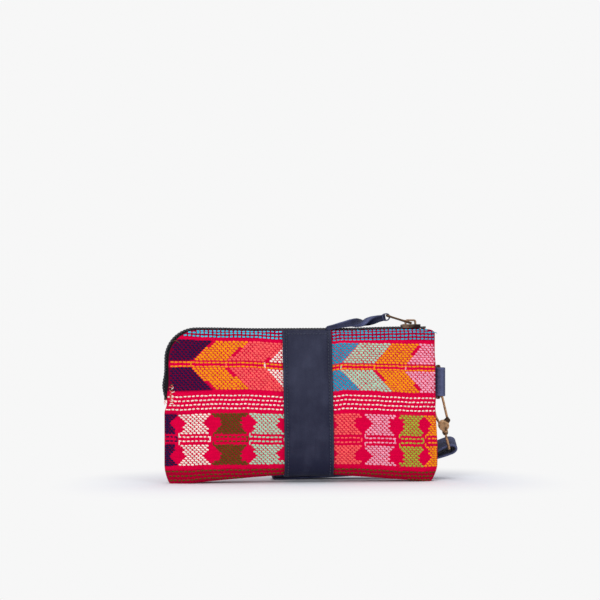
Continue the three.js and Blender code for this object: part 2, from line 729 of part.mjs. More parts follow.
// The swivel eye: a flat-bottomed loop below a round neck, in the plane of Y and Z.
function swivelEye() {
  const half = eyeWidth / 2;
  const path = [];
  const turn = (cy, cz, from, to) => {
    for (let i = 0; i <= 5; i++) {
      const angle = lerp(from, to, i / 5);
      path.push(vector(0, cy + eyeCorner * Math.cos(angle), cz + eyeCorner * Math.sin(angle)));
    }
  };
  turn(-half + eyeCorner, barHeight + eyeCorner, Math.PI, 1.5 * Math.PI);
  turn(half - eyeCorner, barHeight + eyeCorner, 1.5 * Math.PI, 2 * Math.PI);
  turn(half - eyeCorner, eyeTop - eyeCorner, 0, Math.PI / 2);
  turn(-half + eyeCorner, eyeTop - eyeCorner, Math.PI / 2, Math.PI);
  const loop = wire(path, hookWire / 2, vector(1, 0, 0), { closed: true });
  const neckTop = bossMiddle - bossRadius - clearance;
  const neckPoints = [[0, eyeTop - 0.6], [1.7, eyeTop - 0.2], [neckRadius, eyeTop + 1.4]];
  neckPoints.push([neckRadius, neckTop - 0.5], [1.6, neckTop], [stemRadius, neckTop]);
  neckPoints.push([stemRadius, neckTop + stemHeight], [0, neckTop + stemHeight]);
  const profile = neckPoints.map(([r, z]) => new THREE.Vector2(r, z));
  const neck = new THREE.LatheGeometry(profile, 16).rotateX(Math.PI / 2);
  return joined(loop, neck);
}

// The rivet head inside the boss, which keeps the eye's neck from pulling out.
function swivelRivet() {
  const head = new THREE.CylinderGeometry(rivetRadius, rivetRadius, 1, 16).rotateX(Math.PI / 2);
  return head.translate(0, 0, rivetMiddle - 0.1);
}

// Wrist strap

// The strap's loop. Its two layers leave the eye's bar along the given direction and lie behind the body.
function wristStrap(barPlace, barAlong) {
  const layers = 26;
  const leave = barAlong.clone().cross(vector(0, 0, 1)).normalize();
  if (leave.x > 0) leave.negate();
  const restHeight = strapThickness + strapEndFold;
  const middleAt = (q) => {
    const x = lerp(barPlace.x, strapEnd, q);
    const y = barPlace.y + (strapBack - barPlace.y) * (1 - (1 - q) ** 4.4);
    const z = restHeight + (barPlace.z - restHeight) * (1 - q) ** 1.25;
    return vector(x, y, z);
  };
  const firstGap = strapFold + strapThickness / 2;
  const lastGap = strapEndFold + strapThickness / 2;
  const halfGap = (q) => {
    const pressed = strapGap + strapThickness / 2;
    const near = (firstGap - pressed) * (1 - between(q, 0.01, 0.2));
    const far = (lastGap - pressed) * between(q, 0.82, 0.99);
    return pressed + near + far;
  };
  const frameAt = (q) => {
    const along = middleAt(Math.min(q + 0.01, 1)).sub(middleAt(Math.max(q - 0.01, 0))).normalize();
    if (q < 0.05) along.lerp(leave, 1 - q / 0.05).normalize();
    const roll = strapRoll * (1 - between(q, 0.25, 0.8)) * lerp(1, strapTwist, between(q, 0.03, 0.12));
    const level = vector(0, 0, 1).cross(along).normalize();
    const across = level.applyAxisAngle(along, roll);
    const up = along.clone().cross(across).normalize();
    return { along, across, up: up.z < 0 ? up.negate() : up };
  };
  const rings = [];
  const addRing = (middle, outward, across) => {
    const corners = [[1, 1], [1, -1], [-1, -1], [-1, 1]];
    rings.push(
      corners.map(([o, w]) =>
        middle.clone()
          .addScaledVector(outward, (o * strapThickness) / 2)
          .addScaledVector(across, (w * strapWidth) / 2),
      ),
    );
  };
  const fold = (q, gap, sign) => {
    const { along, across, up } = frameAt(q);
    for (let i = 1; i < 9; i++) {
      const angle = Math.PI / 2 - (Math.PI * i) / 9;
      const outward = along.clone().multiplyScalar(sign * Math.cos(angle));
      outward.addScaledVector(up, sign * Math.sin(angle));
      addRing(middleAt(q).addScaledVector(outward, gap), outward, across);
    }
  };
  for (const side of [1, -1]) {
    for (let i = 0; i <= layers; i++) {
      const q = side > 0 ? i / layers : 1 - i / layers;
      const { across, up } = frameAt(q);
      const outward = up.clone().multiplyScalar(side);
      addRing(middleAt(q).addScaledVector(outward, halfGap(q)), outward, across);
    }
    if (side > 0) fold(1, lastGap, 1);
    else fold(0, firstGap, -1);
  }
  return loft(rings, true);
}

// Materials

const finish = (color, roughness, metalness = 0) =>
  new THREE.MeshStandardMaterial({ color, roughness, metalness });
const brocade = finish("#d2003f", 0.9);
const liningCloth = finish("#3a3330", 0.95);
const navyLeather = finish("#262d45", 0.5);
const zipTapeCloth = finish("#17171c", 0.9);
const zipNylon = finish("#1d1d22", 0.45);
const agedBrass = finish("#86683f", 0.42, 0.9);
const darkSteel = finish("#3b3632", 0.45, 0.9);

const wristlet = new THREE.Group();

function add(name, geometry, material, group = wristlet) {
  const mesh = new THREE.Mesh(geometry, material);
  mesh.name = name;
  group.add(mesh);
  return mesh;
}

function groupAt(parent, place) {
  const group = new THREE.Group();
  group.position.copy(place);
  parent.add(group);
  return group;
}

add("front_panel", panel(-1), brocade);
add("back_panel", panel(1), brocade);
add("front_lining", lining(-1), liningCloth);
add("back_lining", lining(1), liningCloth);
add("leather_band", band(), navyLeather);
add("zip_tape_front", zipTape(-1), zipTapeCloth);
add("zip_tape_back", zipTape(1), zipTapeCloth);
add("zip_coil_front", zipCoil(-1), zipNylon);
add("zip_coil_back", zipCoil(1), zipNylon);
add("zip_top_stop_front", topStop(-1), darkSteel);
add("zip_top_stop_back", topStop(1), darkSteel);
add("zip_bottom_stop", bottomStop(), darkSteel);
add("slider_body", sliderBody(), agedBrass);
add("slider_bridge", sliderBridge(), agedBrass);

const linkGroup = groupAt(wristlet, linkPivot);
linkGroup.rotation.y = linkTilt;
add("pull_link", pullLink(), agedBrass, linkGroup);
const thongGroup = groupAt(linkGroup, vector(-linkLength, 0, 0));
thongGroup.rotation.y = thongTilt - linkTilt;
add("pull_thong", pullThong(), navyLeather, thongGroup);

add("side_tab", sideTab(), navyLeather);
const ringGroup = groupAt(wristlet, vector(barX, 0, tabMiddle));
ringGroup.rotation.z = ringTurn;
add("d_ring", dRing(), agedBrass, ringGroup);

const hookTurned = groupAt(ringGroup, vector(hookSeat, 0, -ringSpan / 2));
hookTurned.rotation.z = -Math.PI / 2;
const hookGroup = groupAt(hookTurned, vector(0, 0, 0));
hookGroup.rotation.set(hookLean, hookTilt, 0);
add("snap_hook", snapHook(), agedBrass, hookGroup);
add("hook_gate", hookGate(), agedBrass, hookGroup);
add("gate_pin", gatePin(), darkSteel, hookGroup);
add("gate_spring", gateSpring(), darkSteel, hookGroup);

const eyeGroup = groupAt(hookGroup, vector(0, 0, 0));
eyeGroup.rotation.z = eyeTurn;
add("swivel_eye", swivelEye(), agedBrass, eyeGroup);
add("swivel_rivet", swivelRivet(), darkSteel, eyeGroup);

// The strap is drawn in the body's frame, round the eye's bar where it hangs.
wristlet.updateMatrixWorld(true);
const barPlace = vector(0, 0, barHeight).applyMatrix4(eyeGroup.matrixWorld);
const barAlong = vector(0, 1, 0).transformDirection(eyeGroup.matrixWorld);
add("wrist_strap", wristStrap(barPlace, barAlong), navyLeather);

// The origin: on the floor, in the middle of the whole part's box.
const part = new THREE.Group();
part.add(wristlet);
const middle = new THREE.Box3().setFromObject(wristlet, true).getCenter(vector(0, 0, 0));
wristlet.position.set(-middle.x, -middle.y, 0);

export default part;
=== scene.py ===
"""A woven wristlet: a zipped pouch of brocade cloth with a leather band, a twisted leather puller and a
leather wrist strap on a snap hook. Sizes are in millimetres round the middle of the cloth body, unless a
line says metres. The front faces -Y, and +Z is up."""

import json
import math

import bmesh
import bpy
import numpy as np
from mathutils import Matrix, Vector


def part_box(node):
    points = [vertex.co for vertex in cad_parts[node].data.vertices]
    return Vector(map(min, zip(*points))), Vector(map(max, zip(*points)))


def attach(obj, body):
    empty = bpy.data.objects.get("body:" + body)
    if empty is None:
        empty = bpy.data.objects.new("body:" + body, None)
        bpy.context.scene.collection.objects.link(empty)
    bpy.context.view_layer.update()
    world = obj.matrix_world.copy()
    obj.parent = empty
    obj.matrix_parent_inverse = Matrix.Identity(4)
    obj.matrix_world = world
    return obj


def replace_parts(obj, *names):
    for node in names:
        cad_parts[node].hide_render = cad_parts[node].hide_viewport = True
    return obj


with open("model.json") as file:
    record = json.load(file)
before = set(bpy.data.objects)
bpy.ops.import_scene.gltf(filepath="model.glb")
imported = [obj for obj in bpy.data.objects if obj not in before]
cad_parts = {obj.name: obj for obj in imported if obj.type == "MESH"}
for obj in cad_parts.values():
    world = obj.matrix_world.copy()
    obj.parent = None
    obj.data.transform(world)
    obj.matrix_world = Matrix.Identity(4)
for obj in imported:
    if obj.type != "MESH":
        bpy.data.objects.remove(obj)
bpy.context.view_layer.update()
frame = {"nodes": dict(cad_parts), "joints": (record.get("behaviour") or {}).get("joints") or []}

# The camera stands low in front of the pouch and a little to its left, with a normal lens. Its shift keeps
# the pouch's upright edges upright while the pouch stands in the lower half of the frame.

front_low, front_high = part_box("front_panel")
back_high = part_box("back_panel")[1]
body_middle = np.array([(front_low.x + front_high.x) / 2, (front_low.y + back_high.y) / 2, 0.0])

camera_distance = 650
camera_height = 70
camera_turn = math.radians(-5)
aim_x = -2.0
lens = bpy.data.cameras.new("camera")
lens.sensor_width = 36
lens.lens = 52.45
lens.shift_y = 0.1463
lens.clip_end = 20
camera = bpy.data.objects.new("camera", lens)
bpy.context.scene.collection.objects.link(camera)
stand_x = aim_x + camera_distance * math.sin(camera_turn)
stand_y = -camera_distance * math.cos(camera_turn)
camera.location = np.array([stand_x, stand_y, camera_height]) * 0.001 + body_middle
camera.rotation_euler = (math.pi / 2, 0, camera_turn)
bpy.context.scene.camera = camera
bpy.context.scene.view_settings.view_transform = "Standard"


# A white sweep of paper under soft boxes: it takes the pouch's shadow near by, and is plain white further
# off. The lamps are wide, so that the shadows stay soft.


class Tone:
    """A socket of a material's nodes. Sums and products of tones add Math nodes."""

    def __init__(self, tree, socket=None):
        self.tree = tree
        self.socket = socket

    def node(self, kind, settings, inputs, output=0):
        """Adds a node, sets it up, feeds its sockets with numbers or tones, and gives one of its outputs."""
        made = self.tree.nodes.new(kind)
        for name, value in settings.items():
            setattr(made, name, value)
        for key, value in inputs.items():
            if isinstance(value, Tone):
                self.tree.links.new(value.socket, made.inputs[key])
            else:
                made.inputs[key].default_value = value
        return Tone(self.tree, made.outputs[output])

    def maths(self, operation, *values):
        return self.node("ShaderNodeMath", {"operation": operation}, dict(enumerate(values)))

    def vectors(self, operation, output, *values):
        return self.node("ShaderNodeVectorMath", {"operation": operation}, dict(enumerate(values)), output)

    def __add__(self, other):
        return self.maths("ADD", self, other)

    __radd__ = __add__

    def __sub__(self, other):
        return self.maths("SUBTRACT", self, other)

    def __rsub__(self, other):
        return self.maths("SUBTRACT", other, self)

    def __mul__(self, other):
        return self.maths("MULTIPLY", self, other)

    def eased(self, low, high):
        """0 below low, 1 above high, and smooth between them."""
        span = {"Value": self, "From Min": low, "From Max": high}
        return self.node("ShaderNodeMapRange", {"interpolation_type": "SMOOTHSTEP"}, span)

    def between(self, first, second):
        """The first colour where this is 0, the second where it is 1."""
        return self.node("ShaderNodeMix", {"data_type": "RGBA"}, {0: self, 6: first, 7: second}, 2)

    def darkened(self, share, stain_and_shade):
        """This colour, times a darker colour where the share is 1: painted shade in the hollows of weaves and
        threads.
        """
        settings = {"data_type": "RGBA", "blend_type": "MULTIPLY"}
        return self.node("ShaderNodeMix", settings, {0: share, 6: self, 7: stain_and_shade}, 2)

    def wave(self):
        """A sine of this, from 0 to 1."""
        return self.maths("SINE", self) * 0.5 + 0.5

    def spot(self):
        """The place on the object, in metres."""
        return self.node("ShaderNodeTexCoord", {}, {}, 3)

    def stored(self, name, output=1):
        """What was stored under a name on the mesh: three numbers, or a colour from output 0."""
        return self.node("ShaderNodeAttribute", {"attribute_name": name}, {}, output)

    def split(self):
        """The three numbers of this vector."""
        parts = self.tree.nodes.new("ShaderNodeSeparateXYZ")
        self.tree.links.new(self.socket, parts.inputs[0])
        return [Tone(self.tree, parts.outputs[i]) for i in range(3)]

    def cloud(self, scale, detail=2.0, roughness=0.5):
        """Soft random light and dark over this vector, from 0 to 1."""
        inputs = {"Vector": self, "Scale": scale, "Detail": detail, "Roughness": roughness}
        return self.node("ShaderNodeTexNoise", {}, inputs)


def dye(red, green, blue):
    """A colour as the eye reads it, from 0 to 255 each, as the linear colour that a shader takes."""
    parts = [c / 255 for c in (red, green, blue)]
    return [c / 12.92 if c <= 0.04045 else ((c + 0.055) / 1.055) ** 2.4 for c in parts] + [1.0]


paper_white = 0.93
paper = bpy.data.materials.new("white_paper")
paper.use_nodes = True
tree = paper.node_tree
tree.nodes.clear()
tone = Tone(tree)
beside = tone.vectors("SUBTRACT", 0, tone.vectors("ABSOLUTE", 0, tone.spot()), (0.1, 0.01, 0))
distance = tone.vectors("LENGTH", 1, tone.vectors("MAXIMUM", 0, beside, (0, 0, 0)))
far = distance.eased(0.0, 0.1)
matte = tone.node("ShaderNodeBsdfDiffuse", {}, {"Color": [0.8, 0.81, 0.86, 1.0]})
plain = tone.node("ShaderNodeEmission", {}, {"Color": [1.0, 1.0, 1.0, 1.0], "Strength": paper_white})
seen = tone.node("ShaderNodeLightPath", {}, {}, 0)
sweep = tone.node("ShaderNodeMixShader", {}, {0: far * seen, 1: matte, 2: plain})
out = tree.nodes.new("ShaderNodeOutputMaterial")
tree.links.new(sweep.socket, out.inputs["Surface"])

floor_mesh = bpy.data.meshes.new("paper_floor")
edge = 3.0
corners = [(-edge, -edge, 0), (edge, -edge, 0), (edge, edge, 0), (-edge, edge, 0)]
floor_mesh.from_pydata(corners, [], [(0, 1, 2, 3)])
floor_mesh.materials.append(paper)
floor = bpy.data.objects.new("paper_floor", floor_mesh)
bpy.context.scene.collection.objects.link(floor)

world = bpy.data.worlds.new("studio")
bpy.context.scene.world = world
world.use_nodes = True
tree = world.node_tree
tree.nodes.clear()
tone = Tone(tree)
rays = tree.nodes.new("ShaderNodeLightPath")
direct = Tone(tree, rays.outputs["Is Camera Ray"])
mirrored = Tone(tree, rays.outputs["Is Glossy Ray"])
through = Tone(tree, rays.outputs["Is Transmission Ray"])
shown = tone.maths("MAXIMUM", direct, tone.maths("MAXIMUM", mirrored, through))
backdrop = tone.node("ShaderNodeBackground", {}, {"Color": [1.0, 1.0, 1.0, 1.0], "Strength": paper_white})
ambient = tone.node("ShaderNodeBackground", {}, {"Color": [0.94, 0.96, 1.0, 1.0], "Strength": 0.4})
mixed = tone.node("ShaderNodeMixShader", {}, {0: shown, 1: ambient, 2: backdrop})
out = tree.nodes.new("ShaderNodeOutputWorld")
tree.links.new(mixed.socket, out.inputs["Surface"])


def soft_box(name, place, aim, size, watts):
    """A square area lamp, in metres, that points at a place."""
    lamp = bpy.data.lights.new(name, "AREA")
    lamp.size = size
    lamp.energy = watts
    holder = bpy.data.objects.new(name, lamp)
    bpy.context.scene.collection.objects.link(holder)
    holder.location = place
    way = np.array(aim) - np.array(place)
    flat = math.hypot(way[0], way[1])
    holder.rotation_euler = (math.atan2(flat, -way[2]), 0, math.atan2(-way[0], way[1]))


soft_box("key_lamp", (-0.6, -1.1, 0.8), (0, 0, 0.05), 0.9, 13)
soft_box("fill_lamp", (0.95, -0.9, 0.5), (0, 0, 0.05), 0.9, 5.5)
soft_box("top_lamp", (0.05, 0.1, 1.3), (0, 0, 0), 1.0, 5)


# The front and back of the pouch are two panels of hand-woven cotton: a crimson rib cloth with a brocade of
# thick coloured threads. They are sewn right sides together, so their edges roll in to the seams.

body_width = 202.8
body_height = 113.6
top_fall = 1.7
top_sag = 0.8
side_flare = 2.0
zip_corner_radius = 21.0
seam_corner_drop = 2.4
seam_corner_reach = 9.0
left_tuck = 3.4
right_tuck = 4.6
tuck_height = 13.0
arch_height = 5.6
left_arch = 84.5
right_arch = 91.0
foot_cut = 0.6
belly_height = 26.0
panel_thickness = 1.4
clearance = 0.3
half_seam = 1.55
half_zip = 4.4
bulge = 11.45
zip_end_height = 61.0
zip_ease = 3.0
tab_middle = 74.5
tab_edge = 12.0
tab_spread = 1.7
band_width = 35.2
band_offset = 3.2
band_lean = 1.4
band_lift = 1.4
slider_inset = 20.1
zip_margin = 7.0

slider_x = body_width / 2 - slider_inset
zip_half = body_width / 2 - side_flare
zip_start = zip_half - zip_margin
top_end = zip_corner_radius - zip_half


def smooth(t):
    t = np.clip(t, 0, 1)
    return t * t * (3 - 2 * t)


def step(z, low, high):
    """0 below low, 1 above high, and smooth between them."""
    return smooth((z - low) / (high - low))


def corner_inset(distance, drop, reach):
    """How far a rounded corner draws a side in, at a distance below the corner's top."""
    near = 1 - np.clip(distance, 0, drop) / drop
    return reach * (1 - np.sqrt(1 - near**2))


def top_edge(x):
    """The panels' top edge falls from the slider to the left corner, and sags in between."""
    run = np.clip((slider_x - x) / (slider_x - top_end), 0, 1)
    sag = step(x, top_end + 4, -30) * (1 - step(x, 30, slider_x - 9))
    return body_height - top_fall * run - top_sag * sag


def side_top(side):
    return body_height - top_fall if side < 0 else body_height


def side_x(side, z):
    """The body's left (-1) or right (1) side at a height."""
    left = side < 0
    flare = step(z, zip_end_height - 10, zip_end_height - 2) if left else step(z, 24, tab_middle - 6)
    below = side_top(side) - z
    if left:
        corner = corner_inset(below, zip_corner_radius, zip_corner_radius)
    else:
        corner = corner_inset(below, seam_corner_drop, seam_corner_reach)
    tuck = (left_tuck if left else right_tuck) * np.clip(1 - z / tuck_height, 0, 1) ** 1.7
    return side * (body_width / 2 - side_flare * flare - corner - tuck)


def place_x(u, v):
    """A place across the body: from its left side at 0 to its right side at 1, v of the way up."""
    return side_x(-1, v * side_top(-1)) * (1 - u) + side_x(1, v * side_top(1)) * u


def band_middle(z):
    """The middle of the leather band, which leans a little, at a height."""
    return band_offset + band_lean * (0.5 - z / body_height)


def seam_height(x):
    """The height of the bottom seam, which arches up between the two feet."""
    share = np.clip(np.where(x < 0, -x / left_arch, x / right_arch), 0, 1)
    band_rise = np.exp(-(((x - band_middle(0)) / band_width) ** 2) * 2.5)
    return arch_height * np.cos(np.pi / 2 * share) + band_lift * band_rise


def near_tab(z, far, near):
    """0 beyond a distance from the side tab's middle, and 1 within a nearer one."""
    return step(z, tab_middle - far, tab_middle - near) * (1 - step(z, tab_middle + near, tab_middle + far))


def half_depth(x, z):
    """From the body's middle plane to the outer face of a panel. The cloth swells a little unevenly."""
    foot = seam_height(x)
    v = np.clip((z - foot) / (top_edge(x) - foot), 0, 1)
    left = place_x(0, v)
    right = place_x(1, v)
    u = np.clip((x - left) / (right - left), 0, 1)
    belly = np.clip((z - foot + foot_cut) / belly_height, 0, 1)
    rounded = np.cbrt(1 - (1 - belly) ** 3)
    taper = np.clip(np.cos(np.pi / 2 * np.clip((v - 0.3) / 0.7, 0, 1)), 0, 1) ** 0.8
    across = (4 * u * (1 - u)) ** 0.35
    zip_side = 1 - step(u, 0, 0.14)
    zip_top = step(v, 0.72, 1) * (1 - step(x, zip_start + zip_ease, zip_half - 0.3))
    by_zip = np.maximum(zip_top, zip_side * step(z, zip_end_height - 14, zip_end_height - zip_ease))
    tab_bump = near_tab(z, tab_edge + 10, tab_edge)
    inner = across * rounded * taper
    swell = 0.35 * np.sin(x * 0.083 + 0.8) * np.sin(z * 0.11 + 0.4) + 0.16 * np.sin(x * 0.21 - z * 0.09)
    flat = half_seam + (half_zip - half_seam) * by_zip + tab_spread * tab_bump * step(u, 0.9, 1)
    return flat + (bulge + swell) * inner


def on_cloth(x, z, side, lift):
    """Points over a panel: side -1 is the front, 1 the back, and lift is the height above its outer face."""
    reach = 0.25
    depth = half_depth(x, z)
    across = (half_depth(x + reach, z) - half_depth(x - reach, z)) / (2 * reach)
    upward = (half_depth(x, z + reach) - half_depth(x, z - reach)) / (2 * reach)
    across, upward = np.clip(across, -3, 3), np.clip(upward, -3, 3)
    length = np.sqrt(1 + across**2 + upward**2)
    share = lift / length
    return np.stack([x - across * share, side * (depth + share), z - upward * share], -1)


def unit(v):
    return v / np.linalg.norm(v)


def eased_steps(count):
    """Steps from 0 to 1 that are closer together near both ends."""
    return (1 - np.cos(np.linspace(0, np.pi, count + 1))) / 2


def quilt(outer, inner, roll=0.7):
    """A closed skin between two grids of points, with a rounded rim."""
    rows, columns = outer.shape[:2]
    border = [(0, j) for j in range(columns)] + [(i, columns - 1) for i in range(1, rows)]
    border += [(rows - 1, j) for j in range(columns - 2, -1, -1)] + [(i, 0) for i in range(rows - 2, 0, -1)]
    i, j = np.array(border).T
    half = (outer[i, j] - inner[i, j]) / 2
    away = outer[i, j] - outer[np.clip(i, 1, rows - 2), np.clip(j, 1, columns - 2)]
    thick = np.linalg.norm(half, axis=1, keepdims=True)
    away = away - half * (away * half).sum(1, keepdims=True) / np.maximum(thick, 1e-6) ** 2
    away = away / np.maximum(np.linalg.norm(away, axis=1, keepdims=True), 1e-6) * thick * roll
    middle = (outer[i, j] + inner[i, j]) / 2
    rim = [middle + half * math.cos(a) + away * math.sin(a) for a in (0.79, 1.57, 2.36)]
    points = np.concatenate([outer.reshape(-1, 3), inner.reshape(-1, 3)] + rim)
    numbers = np.arange(rows * columns).reshape(rows, columns)
    faces = grid_faces(numbers) + grid_faces(numbers[:, ::-1] + rows * columns)
    loops = [numbers[i, j], 2 * rows * columns + np.arange(len(border))]
    loops += [loops[1] + len(border), loops[1] + 2 * len(border), numbers[i, j] + rows * columns]
    ring = np.array([np.append(loop, loop[0]) for loop in loops])
    return points, faces + grid_faces(ring)


def grid_faces(numbers):
    """Faces between the neighbours in a grid of point numbers."""
    a, b, c, d = numbers[:-1, :-1], numbers[1:, :-1], numbers[1:, 1:], numbers[:-1, 1:]
    return np.stack([a, b, c, d], -1).reshape(-1, 4).tolist()


def tube(rings, closed):
    """Faces through rings of points with the same count."""
    count = len(rings[0])
    numbers = np.arange(len(rings) * count).reshape(len(rings), count)
    numbers = np.concatenate([numbers, numbers[:, :1]], 1)
    if closed:
        return grid_faces(np.concatenate([numbers, numbers[:1]], 0))
    return grid_faces(numbers) + [numbers[0, :-1][::-1].tolist(), numbers[-1, :-1].tolist()]


def copies(one, size, count):
    """The faces of one shape, for so many shapes with the same number of points."""
    return [[n + size * i for n in face] for i in range(count) for face in one]


def make_piece(name, points, faces, material, closed=True):
    """A smooth mesh from points in millimetres."""
    mesh = bpy.data.meshes.new(name)
    mesh.from_pydata((np.reshape(points, (-1, 3)) * 0.001 + body_middle).tolist(), [], faces)
    if closed:
        work = bmesh.new()
        work.from_mesh(mesh)
        bmesh.ops.recalc_face_normals(work, faces=work.faces)
        work.to_mesh(mesh)
        work.free()
    mesh.polygons.foreach_set("use_smooth", [True] * len(mesh.polygons))
    mesh.materials.append(material)
    made = bpy.data.objects.new(name, mesh)
    bpy.context.scene.collection.objects.link(made)
    return made


def read(mesh, what):
    """The place or the normal of each vertex of a mesh."""
    values = np.empty(len(mesh.vertices) * 3)
    mesh.vertices.foreach_get(what, values)
    return values.reshape(-1, 3)


def note(made, values):
    """Stores where each point of a mesh lies on the flat piece, and a third number, for its material."""
    layer = made.data.attributes.new("lay", "FLOAT_VECTOR", "POINT")
    layer.data.foreach_set("vector", np.asarray(values, dtype=np.float32).ravel())


def paint(made, name, colours):
    """Stores a colour for each point of a mesh, for its material."""
    layer = made.data.attributes.new(name, "FLOAT_COLOR", "POINT")
    layer.data.foreach_set("color", np.asarray(colours, dtype=np.float32).ravel())


def mark(across, up, third):
    """Lists of three numbers, from three grids of them."""
    return np.stack(np.broadcast_arrays(across, up, third), -1).reshape(-1, 3)


def note_quilt(made, across, up, third, rim):
    """Stores the same places on both faces of a quilt, and one value, or one a point, round its rim."""
    flat = mark(across, up, third)
    edge_count = len(made.data.vertices) - 2 * len(flat)
    note(made, np.concatenate([flat, flat, np.broadcast_to(rim, (edge_count, 3))]))


def run_along(grid, axis):
    """The length along each line of a grid of points, from its first point."""
    first = grid[:1] if axis == 0 else grid[:, :1]
    return np.cumsum(np.linalg.norm(np.diff(grid, axis=axis, prepend=first), axis=2), axis=axis)


def new_finish(name, **constants):
    """A material with the given constant values, and a tone to build its nodes from."""
    material = bpy.data.materials.new(name)
    material.use_nodes = True
    shader = material.node_tree.nodes["Principled BSDF"]
    for key, value in constants.items():
        shader.inputs[key.replace("_", " ")].default_value = value
    return material, Tone(material.node_tree)


def coat(material, socket, value):
    """Feeds one socket of a material's main shader."""
    shader = material.node_tree.nodes["Principled BSDF"]
    material.node_tree.links.new(value.socket, shader.inputs[socket])


def relief(material, height, depth):
    """Bumps from a height of 0 to 1, with its depth in metres."""
    bump = height.node("ShaderNodeBump", {}, {"Height": height, "Distance": depth, "Strength": 1.0})
    coat(material, "Normal", bump)


crimson = dye(232, 0, 66)
rib_pitch = 0.81
warp_pitch = 0.62

crimson_cloth, tone = new_finish("crimson_cloth", Roughness=0.95, Specular_IOR_Level=0.03)
dye_and_shade = tone.stored("dye_and_shade", 0)
lay = tone.stored("lay")
across, upward, _ = lay.split()
rib = tone.maths("SINE", upward * (2 * math.pi / rib_pitch))
warp = tone.maths("SINE", across * (2 * math.pi / warp_pitch) + tone.maths("SIGN", rib) * (math.pi / 2))
weave = rib * 0.5 + 0.5
threads = weave * 0.7 + (warp * 0.5 + 0.5) * 0.3
slub = lay.cloud(0.35, 3.0)
streak_place = tone.node("ShaderNodeCombineXYZ", {}, {0: across * 0.05, 1: upward * 1.2})
streak = streak_place.cloud(1.0, 2.0)
# Painted shade in the hollows between the ribs and warps; the streaks and slubs are real darker threads.
shade = threads * 0.55 + streak.eased(0.3, 0.7) * 0.3 + slub.eased(0.35, 0.65) * 0.15
coat(crimson_cloth, "Base Color", dye_and_shade.darkened((1 - shade) * 0.75, [0.5, 0.35, 0.5, 1.0]))
relief(crimson_cloth, threads + slub * 0.3, 0.00022)


def cloth_panel(name, side):
    """One panel, from the middle of the bottom seam up to the zip, where its edge rolls over. The turned-in
    edges of the side seam fill it above and below the side tab, where the tab spreads the panels."""
    top_roll = 0.4
    zip_room = 1.3
    seam_fill = 9.0
    half_gap = clearance / 2
    outer = []
    fill = []
    for u in eased_steps(280):
        x0 = place_x(u, 0.0)
        foot = seam_height(x0)
        under = half_depth(x0, foot)
        base = [[x0, side * (half_gap + (under - half_gap) * t), foot] for t in (0, 0.3, 0.6, 0.86)]
        v = eased_steps(130)
        x = place_x(u, v)
        x = x + zip_room * (1 - u) ** 8 * step(v * side_top(-1), 62, 75)
        z = seam_height(x) * (1 - v) + top_edge(x) * v
        y = half_depth(x, z)
        z = z + top_roll * step(v, 0.97, 1)
        outer.append(np.concatenate([base, np.stack([x, side * y, z], -1)]))
        spread = near_tab(z, tab_edge + 10, tab_edge) * (1 - near_tab(z, 11.6, 10.7))
        fill.append(np.append(np.zeros(len(base)), seam_fill * spread * step(u, 0.99, 0.994)))
    outer = np.array(outer)
    inner = outer.copy()
    inner[:, :, 1] = side * np.maximum(np.abs(outer[:, :, 1]) - panel_thickness - np.array(fill), half_gap)
    inner[:, :, 2] = np.maximum(outer[:, :, 2], seam_height(outer[:, :, 0]) + panel_thickness)
    points, faces = quilt(outer, inner, 0.5)
    made = make_piece(name, points, faces, crimson_cloth)
    along = run_along(outer, 0)
    along -= along[len(along) // 2]
    rim = points[2 * outer.size // 3:] * [1, 0, 1]
    note_quilt(made, along, run_along(outer, 1), 0, rim[:, [0, 2, 1]])
    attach(made, "pouch")
    return made


front_cloth = cloth_panel("front_cloth", -1)
back_cloth = cloth_panel("back_cloth", 1)
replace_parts(front_cloth, "front_panel")
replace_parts(back_cloth, "back_panel")


# The brocade: thick cotton threads that float over a few warps at a time and dive back into the cloth, so
# that they stand up in short dashes. A border of cyan dashes, arrowheads on an orange spine, four white rows,
# a row of hourglasses and an olive border. Each dash is a small pillow of thread.

dash_pitch = 3.03
dash_rise = 0.45
row_pitch = 1.6
upper_arrows = 103.4
lower_arrows = 83.9
upper_glasses = 50.9
upper_pitch = 1.51
lower_glasses = 14.9
lower_pitch = 1.47
fill_lean = -0.18

cyan = dye(0, 200, 230)
shaded_cyan = dye(0, 168, 202)
teal = dye(0, 150, 186)
plum = dye(26, 3, 61)
amber = dye(248, 152, 0)
salmon = dye(253, 96, 94)
ivory = dye(246, 234, 222)
mint = dye(170, 214, 186)
rose = dye(244, 164, 188)
olive = dye(88, 68, 8)
lime = dye(164, 178, 54)

arrowheads = [
    (-130.0, 1.0, plum), (-82.0, 1.12, amber), (-56.6, 1.12, salmon), (-28.3, 1.1, ivory),
    (-1.3, 1.0, teal), (27.8, 0.98, mint), (52.7, 0.95, amber), (76.6, 0.78, rose), (130.0, 0.6, plum),
]
hourglasses = [
    (-103.0, 10.6, plum), (-79.5, 11.4, ivory), (-53.6, 12.2, olive), (-27.1, 12.7, mint),
    (1.5, 11.5, cyan), (30.6, 11.8, salmon), (56.2, 11.4, rose), (80.3, 9.4, lime), (101.5, 10.4, amber),
]
cyan_rows = (114.6, 112.2, 109.75, 107.4)
spine_rows = (88.3, 85.45)
white_rows = (64.4, 61.3, 58.2, 55.1)
loop_rows = (34.4, 31.3)
olive_rows = (10.1, 7.2, 4.4)
hourglass_shape = (1.0, 0.9, 0.67, 0.61, 0.56, 0.58, 0.67, 0.77, 0.88, 0.9)
glass_rows = [(upper_glasses - upper_pitch * k, size) for k, size in enumerate(hourglass_shape)]
glass_rows += [(lower_glasses + lower_pitch * k, size) for k, size in enumerate(hourglass_shape)]

thread_random = np.random.default_rng(7)

